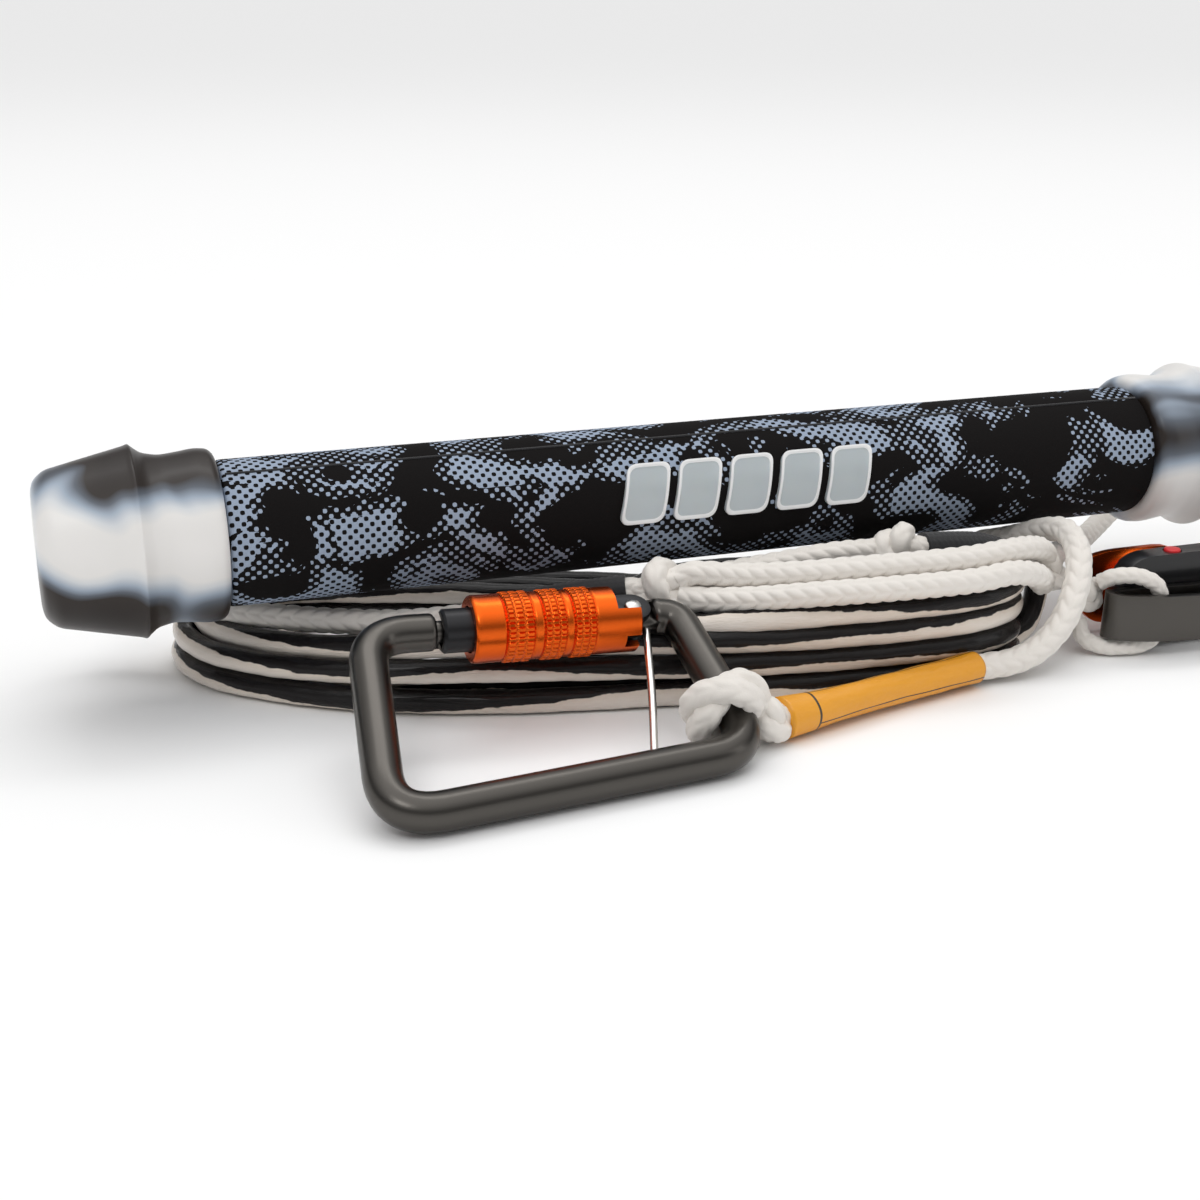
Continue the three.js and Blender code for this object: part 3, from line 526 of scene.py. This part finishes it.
# Five raised tiles stand where the real grip has its badge.
TILE_W, TILE_H, TILE_LEAN, TILE_CORNER = 5.2, 6.6, 1.6, 2.4
TILES_AT, TILE_PITCH = 4.2, 12.6
TILE_FACING = math.radians(17)
# Rings from the foam outwards and then inwards over the rim: share of the outline, distance from the axis.
TILE_RINGS = [(1.0, 15.8), (1.0, 16.9), (0.985, 17.15), (0.90, 17.2),
              (0.86, 16.95), (0.80, 16.85), (0.4, 16.85)]
RIM_RINGS = 4


def tile(index):
    """Rounded parallelogram plate with a raised rim, wrapped on the grip."""
    middle = TILES_AT + (index - 2) * TILE_PITCH
    corners = [(-TILE_W - TILE_LEAN, -TILE_H), (TILE_W - TILE_LEAN, -TILE_H),
               (TILE_W + TILE_LEAN, TILE_H), (-TILE_W + TILE_LEAN, TILE_H)]
    outline = []
    for i, c in enumerate(corners):
        c = np.array(c)
        a = np.array(corners[i - 1])
        b = np.array(corners[(i + 1) % 4])
        start = c + (a - c) / np.linalg.norm(a - c) * TILE_CORNER
        end = c + (b - c) / np.linalg.norm(b - c) * TILE_CORNER
        for t in np.linspace(0, 1, 9):
            outline.append((1 - t) ** 2 * start + 2 * t * (1 - t) * c + t * t * end)
        for t in (0.2, 0.4, 0.6, 0.8):
            onward = b + (c - b) / np.linalg.norm(c - b) * TILE_CORNER
            outline.append(end + (onward - end) * t)
    outline = np.array(outline)
    verts = []
    for scale, radius in TILE_RINGS:
        for x, h in outline * scale:
            facing = TILE_FACING + h / GRIP_R
            verts.append((middle + x, -radius * math.cos(facing), HANDLE_Z + radius * math.sin(facing)))
    n = len(outline)
    faces = grid_faces(len(TILE_RINGS), n)
    faces.append(tuple(reversed(range(n))))
    faces.append(tuple((len(TILE_RINGS) - 1) * n + j for j in range(n)))
    obj = make(f"tile_{index + 1}", verts, faces)
    place(obj, "badge_silicone", f"badge_tile_{index + 1}")
    obj.data.materials.append(MATERIALS["badge_rim"])
    for i, polygon in enumerate(obj.data.polygons):
        polygon.material_index = 1 if n <= i < RIM_RINGS * n else 0
    by_angle(obj, 50)


for i in range(5):
    tile(i)

# ---------------------------------------------------------------- lines
BRAID_R, END_R, COAT_R, LOOP_R = 2.8, 3.0, 2.7, 1.9


def cord(name, points, radius, nodes=(), slot="white_braid", step=0.3,
         sides=48, relief=None):
    path = smooth(points, step)
    relief = relief or braid(radius)
    obj = sweep(name, path, radius, sides, relief)
    place(obj, slot, *nodes)
    return obj


def ball_knot(name, centre, size, rope, slot, *nodes, turn=(0, 0, 0), body=ROOT, squash=(1, 1, 1)):
    """Tight knot: a trefoil of braided rope, as wide as `size` from its middle."""
    t = np.linspace(0, TAU * 0.995, 200)
    reach = (size - rope) / 3.0
    out = 2 + np.cos(3 * t)
    path = np.stack([out * np.cos(2 * t), out * np.sin(2 * t), 1.25 * np.sin(3 * t)], 1) * squash * reach
    about_x, about_y, about_z = (Matrix.Rotation(math.radians(a), 3, axis) for a, axis in zip(turn, "XYZ"))
    spin = np.array(about_z @ about_y @ about_x)
    obj = sweep(name, evenly(path @ spin.T + np.array(centre), 0.25), rope, 32, braid(rope))
    return place(obj, slot, *nodes, body=body)


LEG_LEFT = [(-144.6, 25, 26.4), (-141.5, 29.5, 19.5), (-135, 29.5, 15.4), (-125, 23.5, 15),
            (-113, 13.5, 15.6), (-101, 4, 16), (-88, -3, 15.8), (-74, -8.6, 16), (-60, -12.6, 17.4),
            (-49, -15.5, 19.5), (-38, -19, 21.4), (-28.6, -22.6, 22.8), (-23, -25.4, 23.2)]
LEG_RIGHT = [(144.6, 25, 26.4), (142, 29.5, 19), (135.5, 29.5, 13), (124, 22.5, 9.5), (112, 12, 9.6),
             (101, 2.5, 11.4), (90.5, -7, 14), (80, -14, 16.6), (70, -18.4, 20.2), (61, -21.5, 23.6),
             (53, -23.6, 25.2), (44.6, -24.4, 26), (40, -23.8, 26.2)]
SLEEVE_LEFT = [(-49.6, -15.3, 19.4), (-38, -19, 21.4), (-28.2, -22.8, 22.9)]
SLEEVE_RIGHT = [(74, -16.8, 18.8), (70, -18.4, 20.2), (61, -21.5, 23.6), (53, -23.6, 25.2), (44.6, -24.4, 26)]
KNOT_LEFT, KNOT_RIGHT = (-20.2, -25.8, 22.8), (38.3, -24.4, 25.8)
KNOT_MAIN, KNOT_LOOP = (77, -28, 18.4), (85, -33.6, 13.4)
TAIL_LOWER = [(-18, -28.6, 22.2), (-14.6, -30.6, 21.8), (-4, -36, 22.4), (10, -42, 24), (28, -45.6, 24.6),
              (46, -46.4, 24.6), (57, -44.4, 24.6), (66.6, -39.6, 21.4), (71.2, -34.6, 17.6), (74, -31, 17.4)]
TAIL_UPPER = [(-18, -27, 25.4), (-15.4, -27.6, 26.8), (-4, -31.2, 26.4), (8, -36.2, 27.2), (20, -39.4, 28),
              (34, -41.3, 28.3), (48, -41.5, 28.3), (59, -39, 28.1), (67.6, -34.8, 26.6), (73.6, -30.4, 23.8),
              (76, -29, 20.6)]
CROSS_LINE = [(36, -23.5, 26.2), (32.2, -23.4, 26.2), (22, -24.6, 26.8), (10, -23, 25.4), (-3, -22, 24),
              (-14.4, -22.8, 22.4), (-18, -24, 22.6)]

knot_left = ball_knot("knot_left_rope", KNOT_LEFT, 7.8, 2.8, "white_braid", "knot_left", turn=(70, 20, 0))
knot_right = ball_knot("knot_right_rope", KNOT_RIGHT, 7.0, 2.6, "white_braid", "knot_right",
                       turn=(80, 60, 10))
ball_knot("knot_main_rope", KNOT_MAIN, 6.2, 2.3, "white_braid", "knot_main", turn=(60, 30, 40))
knot_loop = ball_knot("knot_loop_rope", KNOT_LOOP, 4.9, 1.8, "white_braid", "knot_loop", turn=(80, 10, 30))

CHAFE_R = 3.5
for word, route in (("left", SLEEVE_LEFT), ("right", SLEEVE_RIGHT)):
    tube = sweep(f"chafe_{word}", smooth(route, 0.4), CHAFE_R, 48, braid(CHAFE_R, 16, 1.5, 0.2))
    place(tube, "chafe_sleeve", f"line_sleeve_{word}")

cord("leg_left", mirror(PORT, -1) + LEG_LEFT, BRAID_R, ["bridle_leg_left"])
cord("leg_right", mirror(PORT, 1) + LEG_RIGHT, BRAID_R, ["bridle_leg_right"])
cord("cross_line", CROSS_LINE, BRAID_R, ["bridle_cross_line"])
cord("tail_lower", TAIL_LOWER, BRAID_R, ["bridle_tail_lower"])
cord("tail_upper", TAIL_UPPER, BRAID_R, ["bridle_tail_upper"])

# ---------------------------------------------------------------- coiled main line
LOOP_OUTLINE = [(66, -24), (62, -36.6), (50, -42.4), (30, -43), (0, -40), (-30, -35.4), (-58, -29.4),
                (-84, -19.6), (-104, -6.6), (-117, 7), (-121.4, 22), (-117, 37), (-104, 47.6), (-86, 51),
                (-62, 46), (-34, 34), (-6, 20), (20, 6), (42, -4.6), (57, -12)]
CORNERS = len(LOOP_OUTLINE)
# For each turn: (inset, height) at the front, left of the front, at the left end and at the back.
TURNS = [
    ((6.8, 2.7), (9.0, 2.7), (14.0, 3.2), (12.0, 2.7)),
    ((6.8, 8.1), (6.6, 8.1), (8.2, 2.9), (6.0, 2.7)),
    ((0.0, 2.7), (0.0, 2.8), (0.0, 2.8), (0.0, 2.7)),
    ((0.0, 8.1), (-0.6, 10.3), (0.6, 8.3), (0.0, 8.1)),
    ((0.0, 13.5), (0.8, 15.8), (5.2, 11.6), (6.0, 8.1)),
    ((0.0, 18.9), (6.2, 14.6), (10.6, 9.6), (12.0, 8.1)),
]
COIL_START, COIL_STOP = 1.0, CORNERS * len(TURNS) - 4.4  # as corner numbers


def loop_at(where):
    """Point of the outline at a corner number, with its inward direction."""
    p = [np.array(LOOP_OUTLINE[(int(math.floor(where)) + k) % CORNERS], float) for k in (-1, 0, 1, 2)]
    t = where - math.floor(where)
    point = 0.5 * (2 * p[1] + (p[2] - p[0]) * t + (2 * p[0] - 5 * p[1] + 4 * p[2] - p[3]) * t ** 2
                   + (3 * p[1] - p[0] - 3 * p[2] + p[3]) * t ** 3)
    slope = 0.5 * ((p[2] - p[0]) + 2 * (2 * p[0] - 5 * p[1] + 4 * p[2] - p[3]) * t
                   + 3 * (3 * p[1] - p[0] - 3 * p[2] + p[3]) * t ** 2)
    slope /= np.linalg.norm(slope)
    return point, np.array((slope[1], -slope[0]))


def coil_points():
    """The turns one after another, easing from each inset and height in TURNS to the next."""
    keys = []
    for k, (front, middle, left, back) in enumerate(TURNS):
        for corner, state in ((0.6, front), (3.4, front), (6.0, middle), (8.2, left), (12.0, left),
                              (14.0, back), (17.4, back)):
            keys.append((CORNERS * k + corner, state))
    at = np.array([k[0] for k in keys])
    inset = np.array([k[1][0] for k in keys])
    height = np.array([k[1][1] for k in keys])
    points = []
    for where in np.arange(COIL_START, COIL_STOP, 0.5):
        i = min(np.searchsorted(at, where, side="right") - 1, len(at) - 2)
        f = (where - at[i]) / (at[i + 1] - at[i])
        f = f * f * (3 - 2 * f)
        point, inward = loop_at(where)
        here = point + inward * (inset[i] + (inset[i + 1] - inset[i]) * f)
        points.append((here[0], here[1], height[i] + (height[i + 1] - height[i]) * f))
    return points


LEAD_IN = [(74.5, -27.6, 14.6), (72.6, -29.6, 10.2), (68.6, -31.6, 5.4)]
LEAD_OUT = [(-18, 12.6, 9.4), (-8, 11.4, 12.6), (4, 11.2, 13.6), (20, 8.2, 13.8), (38, 5.2, 13.8),
            (52, 4.6, 12.8), (62, 4.7, 12.3), (70.2, 4.7, 12.4)]


def coat_relief(angle, s):
    """Faint unevenness of the coating."""
    return 0.05 * np.sin(3 * angle + s * 0.35) + 0.04 * np.sin(s * 0.9)


cord("main_line", LEAD_IN + coil_points()[1:] + LEAD_OUT, COAT_R,
     ["mainline_coil", "mainline_lead_in", "mainline_lead_out"], slot="coated_line", step=1.2,
     sides=28, relief=coat_relief)

END_LINE = [(70.6, 4.6, 12.6), (76.4, 3.6, 15.6), (79.6, -3, 18.4), (80.7, -11, 21.7), (81.6, -18.4, 25),
            (82.4, -25, 26.6), (81.4, -32, 25.2), (78.6, -38.2, 21.4), (74.6, -42.8, 16.2),
            (69.6, -45.8, 10.8), (63, -47.4, 6.4), (56, -47.8, 4.4), (50.4, -47.6, 4.1)]
LABEL_A, LABEL_B = np.array((-5.6, -60.9, 4.5)), np.array((47.7, -47.2, 4.1))
inside_label = [tuple(LABEL_B + (LABEL_A - LABEL_B) * t) for t in (0.1, 0.5, 0.9)]
LOBE = (-10.6, -62.2, 5.3)

# The film starts just inside the lobe, where it is widest, and narrows towards the braid.
FILM_FROM, FILM_TO = -0.03, 0.98
film_path = evenly(np.array([LABEL_A + (LABEL_B - LABEL_A) * t for t in (FILM_FROM, FILM_TO)]), 0.6)
film_at = along(film_path) / float(np.linalg.norm(LABEL_B - LABEL_A))
film_radius = np.interp(film_at, [0, 0.05, 0.25, 0.6, 0.85, 1.0], [4.5, 4.35, 3.9, 3.4, 3.5, 3.8])
film = sweep("label", film_path, film_radius, 40,
             lambda angle, s: 0.14 * np.sin(2 * angle + s * 0.16) + 0.05 * np.sin(5 * angle - s * 0.5))
place(film, "label_film", "label_sleeve", "label_line")
end_points = END_LINE + inside_label + [tuple(LABEL_A), (-8.2, -61.6, 5.0)]
cord("end_braid", end_points, END_R, ["end_line"])

# ---------------------------------------------------------------- carabiner
# Its frame of reference has x along the spine and y across the opening, and leans on the coil.
CARABINER = (Matrix.Translation((-0.0867, -0.0809, 0.0041)) @ Matrix.Rotation(math.radians(6.13), 4, "Z")
             @ Matrix.Rotation(math.radians(24), 4, "X"))
# The gate's has x along it, from the nose to the hinge at PIVOT_S.
GATE_START = np.array((16.2, 47.2, 0.0))
GATE_SLOPE = math.radians(-6.6)
PIVOT_S = 43.0
GATE = CARABINER @ Matrix.Translation(GATE_START * 0.001) @ Matrix.Rotation(GATE_SLOPE, 4, "Z")
pivot = GATE_START + PIVOT_S * np.array((math.cos(GATE_SLOPE), math.sin(GATE_SLOPE), 0))
ROD_R = 4.0
# The rod's corners from the nose to the hinge: x, y and radius of bend.
ROD_CORNERS = [(GATE_START[0] - 0.4, GATE_START[1] + 0.05, 0), (1.4, 49, 10), (-9.6, 0, 9.5), (68.4, 0, 10.5),
               (pivot[0] + 10.4, pivot[1] - 1.2, 5.3), (pivot[0] + 4.8, pivot[1] - 0.55, 0)]


def rod_path():
    """Centreline with a quadratic corner at each vertex."""
    at = [np.array((x, y, 0.0)) for x, y, _ in ROD_CORNERS]
    out = [at[0]]
    for i in range(1, len(at) - 1):
        into, away = at[i - 1] - at[i], at[i + 1] - at[i]
        into, away = into / np.linalg.norm(into), away / np.linalg.norm(away)
        reach = ROD_CORNERS[i][2] / math.tan(math.acos(np.dot(into, away)) / 2)
        a, b = at[i] + into * reach, at[i] + away * reach
        for t in np.linspace(0, 1, 20):
            out.append((1 - t) ** 2 * a + 2 * t * (1 - t) * at[i] + t * t * b)
    out.append(at[-1])
    return evenly(np.array(out), 0.6)


spine = rod_path()
from_end = np.minimum(along(spine), along(spine)[-1] - along(spine))
EASED, EASED_OVER = 0.7, 0.9  # the rod's ends are rounded by this much, over this length
rod_radius = ROD_R - EASED * (1 - np.clip(from_end / EASED_OVER, 0, 1)) ** 2
rod = moved(sweep("carabiner_rod", spine, rod_radius, 40), CARABINER)
place(by_angle(rod, 40), "dark_anodised", "carabiner_frame", body="carabiner")
tongue = moved(block((0, -3.6, -1.7), (6, 3.6, 1.7)), GATE @ Matrix.Translation((PIVOT_S * 0.001, 0, 0)))
tongue.name = "hinge_tongue"
place(tongue, "dark_anodised", body="carabiner")
boss_profile = fillet([(-1.2, 0.01), (-1.2, 2.3), (2.4, 2.3), (2.4, 0.01)], 0.3)
boss = moved(turned("nose_boss", boss_profile, segments=40), GATE)
place(by_angle(boss), "dark_anodised", body="carabiner")
refined("carabiner_gate", "black_anodised", "gate", 0.25)
refined("hinge_rivet", "steel", "carabiner", 0)

# The twist sleeve, by distance along the gate.
LOCK_R, GATE_R = 7.2, 4.7
LOCK_START, LOCK_END = 7.0, 43.4
BANDS = [(13.6, 19.6), (21.8, 26.6), (28.4, 33.2)]
TEETH_ROUND, ROWS, TOOTH, GROOVE, GROOVE_HALF = 44, 3, 0.34, 0.3, 0.45


def knurl(angle, s):
    """Rows of small teeth in three bands, with a groove on each side of a band."""
    teeth = np.zeros(np.broadcast(angle, s).shape)
    for a, b in BANDS:
        inside = (s > a) & (s < b)
        row = np.clip(np.abs(np.sin(np.pi * (s - a) / ((b - a) / ROWS))) * 1.5, 0, 1)
        column = np.clip(np.abs(np.sin(angle * TEETH_ROUND / 2)) * 1.5, 0, 1)
        teeth = np.where(inside, TOOTH * column * row - 0.05, teeth)
        for edge in (a, b):
            near = np.abs(s - edge)
            teeth -= np.where(near < GROOVE_HALF, GROOVE * (1 - near / GROOVE_HALF), 0)
    return np.where(s > LOCK_END, 0, teeth)


outside = [(LOCK_START, LOCK_R - 0.5), (LOCK_START + 0.35, LOCK_R - 0.12), (LOCK_START + 0.8, LOCK_R)]
for first, last, step in ((8.6, 12.8, 0.8), (13.0, 34.0, 0.15), (34.6, 43.0, 0.8)):
    outside += [(s, LOCK_R) for s in np.arange(first, last, step)]
outside += [(LOCK_END - 0.3, LOCK_R), (LOCK_END, LOCK_R - 0.3)]
bore = [(LOCK_END, 5.45), (36.0, 5.4), (34, GATE_R + 0.3), (LOCK_START, GATE_R + 0.3)]


def outer_only(angle, s):
    """The knurl on the outside, and none in the bore."""
    relief = knurl(angle, s)
    relief[len(outside):] = 0
    return relief


lock = turned("lock_barrel", outside + bore, segments=176, relief=outer_only, closed=True)
# Cut away round the hinge, and slotted for the captive pin.
CUT_FROM, CUT_TO = PIVOT_S - 4.9, LOCK_END + 2
carve(lock, block((CUT_FROM, 1.4, -9), (CUT_TO, 9, 9)), block((CUT_FROM, -3.4, 0.2), (CUT_TO, 9, 9)),
      block((40, -9, -1.6), (CUT_TO, -3, 1.6)))
place(moved(by_angle(lock, 35), GATE), "orange_anodised", "lock_sleeve", body="lock")

PIN_LINE, PIN_R = [(46.5, 2.0, 0), (53.95, 19.7, 0), (61.2, 38.9, 0)], 0.85
keeper = moved(sweep("keeper_pin", smooth(PIN_LINE, 1.0), PIN_R, 20), CARABINER)
place(keeper, "steel", "captive_pin", body="carabiner")

# The hitch is a dense two-turn wrap round the rod whose turns cross three times.
HITCH_MIDDLE, HITCH_REACH, HITCH_SWING, HITCH_RISE, HITCH_ROPE = 11.4, 6.5, 1.4, 2.3, 2.85
HITCH_TURNS, HITCH_CROSSINGS = 2, 1.5
HITCH_TUCK, HITCH_CALM, HITCH_THINS = 0.5, 0.75, 0.11  # how it tightens and thins on the side below the rod
LEG_X, LEG_LEAN = 66.6, 0.032  # the rod's centre beside the hitch


def hitch_point(turn):
    """Point of the wrap after this share of its turns, flatter on the side that lies on the table."""
    angle = turn * HITCH_TURNS * TAU
    weave = HITCH_CROSSINGS * angle
    under = max(0.0, -math.sin(angle))
    distance = HITCH_REACH - HITCH_TUCK * under + HITCH_SWING * (1 - HITCH_CALM * under) * math.cos(weave)
    height = HITCH_MIDDLE + HITCH_RISE * math.sin(weave)
    centre = LEG_X + LEG_LEAN * height
    return (centre + distance * math.cos(angle), height, distance * math.sin(angle))


hitch_path = evenly(np.array([hitch_point(t) for t in np.linspace(0, 1, 240)]), 0.25)
hitch_rope = HITCH_ROPE + HITCH_THINS * np.minimum(hitch_path[:, 2], 0)
hitch = moved(sweep("hitch_rope", hitch_path, hitch_rope, 36, braid(HITCH_ROPE)), CARABINER)
place(hitch, "white_braid", "hitch_knot", body="carabiner")
ball_knot("hitch_lobe_rope", LOBE, 6.0, 2.3, "white_braid", "hitch_lobe", turn=(60, 30, 60),
          body="hitch_tail", squash=(1, 1, 0.9))

# ---------------------------------------------------------------- line block
# These pieces keep their CAD shape, with softened edges.
refined("block_body", "block_black", "block", 1.6)
refined("block_strap", "dark_anodised", ROOT, 1.7)
refined("block_rear_plate", "orange_anodised", "rear_plate", 0.3)
refined("sheave", "steel", "sheave_wheel", 0.2)
refined("sheave_bearing", "steel", "sheave_wheel", 0)
refined("sheave_axle", "steel", "block", 0.4)
refined("strap_pin", "steel", ROOT, 0.2)
refined("lock_button", "red_plastic", "button", 0.4)
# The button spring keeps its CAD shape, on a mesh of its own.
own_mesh(refined("button_spring", "steel", "block", 0))

BLOCK_LOOP = [(86.2, -36.2, 16.6), (88.4, -38.8, 18.6), (93, -41.6, 19), (97.4, -42.8, 16.6),
              (99, -42.9, 11.8), (99, -42.9, 7), (97.4, -42.9, 3.4), (94, -42.8, 2.1), (90, -42.4, 2.05),
              (86, -41, 2.05), (82, -38, 3.6), (81.6, -35.4, 7.4)]
cord("block_loop_rope", BLOCK_LOOP, LOOP_R, ["block_loop"],
     sides=32, step=0.25)

# Inner parts are shown as their CAD nodes, in their own materials.
for node, slot in (("grip_tube", "aluminium_tube"), ("float_core", "float_foam"),
                   ("bridle_inner", "white_braid"), ("tube_bushing_left", "bushing_plastic"),
                   ("tube_bushing_right", "bushing_plastic"), ("lock_spring", "steel"),
                   ("gate_spring", "steel"), ("gate_plunger", "steel")):
    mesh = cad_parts[node].data
    mesh.materials.clear()
    mesh.materials.append(MATERIALS[slot])

# ---------------------------------------------------------------- stage
FLOOR = 40000
floor_corners = [(-FLOOR, -FLOOR, 0), (FLOOR, -FLOOR, 0), (FLOOR, FLOOR, 0), (-FLOOR, FLOOR, 0)]
floor = make("floor", floor_corners, [(0, 1, 2, 3)])
floor.data.materials.append(plain("floor", (0.93, 0.93, 0.93), 0.8, Specular_IOR_Level=0.0))
floor.location.z = -0.0003

# The sky is pale at the horizon, dim above it and bright overhead: a white floor, contrast on the metal.
SKY = [(0.0, 0.51), (0.2, 0.51), (0.27, 0.07), (0.42, 0.12), (1.0, 1.0)]
SKY_STRENGTH = 1.6
world = bpy.data.worlds.new("studio")
bpy.context.scene.world = world
world.use_nodes = True
sky = world.node_tree
direction = sky.nodes.new("ShaderNodeTexCoord")
split = sky.nodes.new("ShaderNodeSeparateXYZ")
glow = sky.nodes.new("ShaderNodeValToRGB")
while len(glow.color_ramp.elements) < len(SKY):
    glow.color_ramp.elements.new(0.5)
for element, (height, brightness) in zip(glow.color_ramp.elements, SKY):
    element.position = height
    element.color = (brightness, brightness, brightness, 1)
sky.links.new(direction.outputs["Generated"], split.inputs[0])
sky.links.new(split.outputs["Z"], glow.inputs[0])
sky.links.new(glow.outputs[0], sky.nodes["Background"].inputs[0])
sky.nodes["Background"].inputs[1].default_value = SKY_STRENGTH


def softbox(name, place_at, target, size, power):
    """Rectangular light turned towards a target."""
    light = bpy.data.lights.new(name, "AREA")
    light.shape = "RECTANGLE"
    light.size, light.size_y = size
    light.energy = power
    obj = bpy.data.objects.new(name, light)
    bpy.context.collection.objects.link(obj)
    obj.location = place_at
    obj.rotation_mode = "QUATERNION"
    obj.rotation_quaternion = (Vector(target) - Vector(place_at)).to_track_quat("-Z", "Y")


softbox("key", (-0.9, -1.1, 1.7), (0, 0, 0.02), (0.9, 0.5), 6.0)
softbox("fill", (1.6, -1.0, 0.8), (0, 0, 0.02), (0.5, 0.9), 2.0)
softbox("top", (0.2, 0.7, 1.8), (0, 0, 0.03), (1.6, 0.4), 5.0)

camera = bpy.data.objects.new("camera", bpy.data.cameras.new("camera"))
bpy.context.collection.objects.link(camera)
camera.data.sensor_width = 36
camera.data.lens = 53.7
camera.data.clip_start = 0.01
camera.location = (-0.15665, -0.37793, 0.15120)
camera.rotation_euler = (math.radians(90 - 19.076), 0, math.radians(-18.986))
bpy.context.scene.camera = camera
bpy.context.scene.view_settings.view_transform = "Standard"
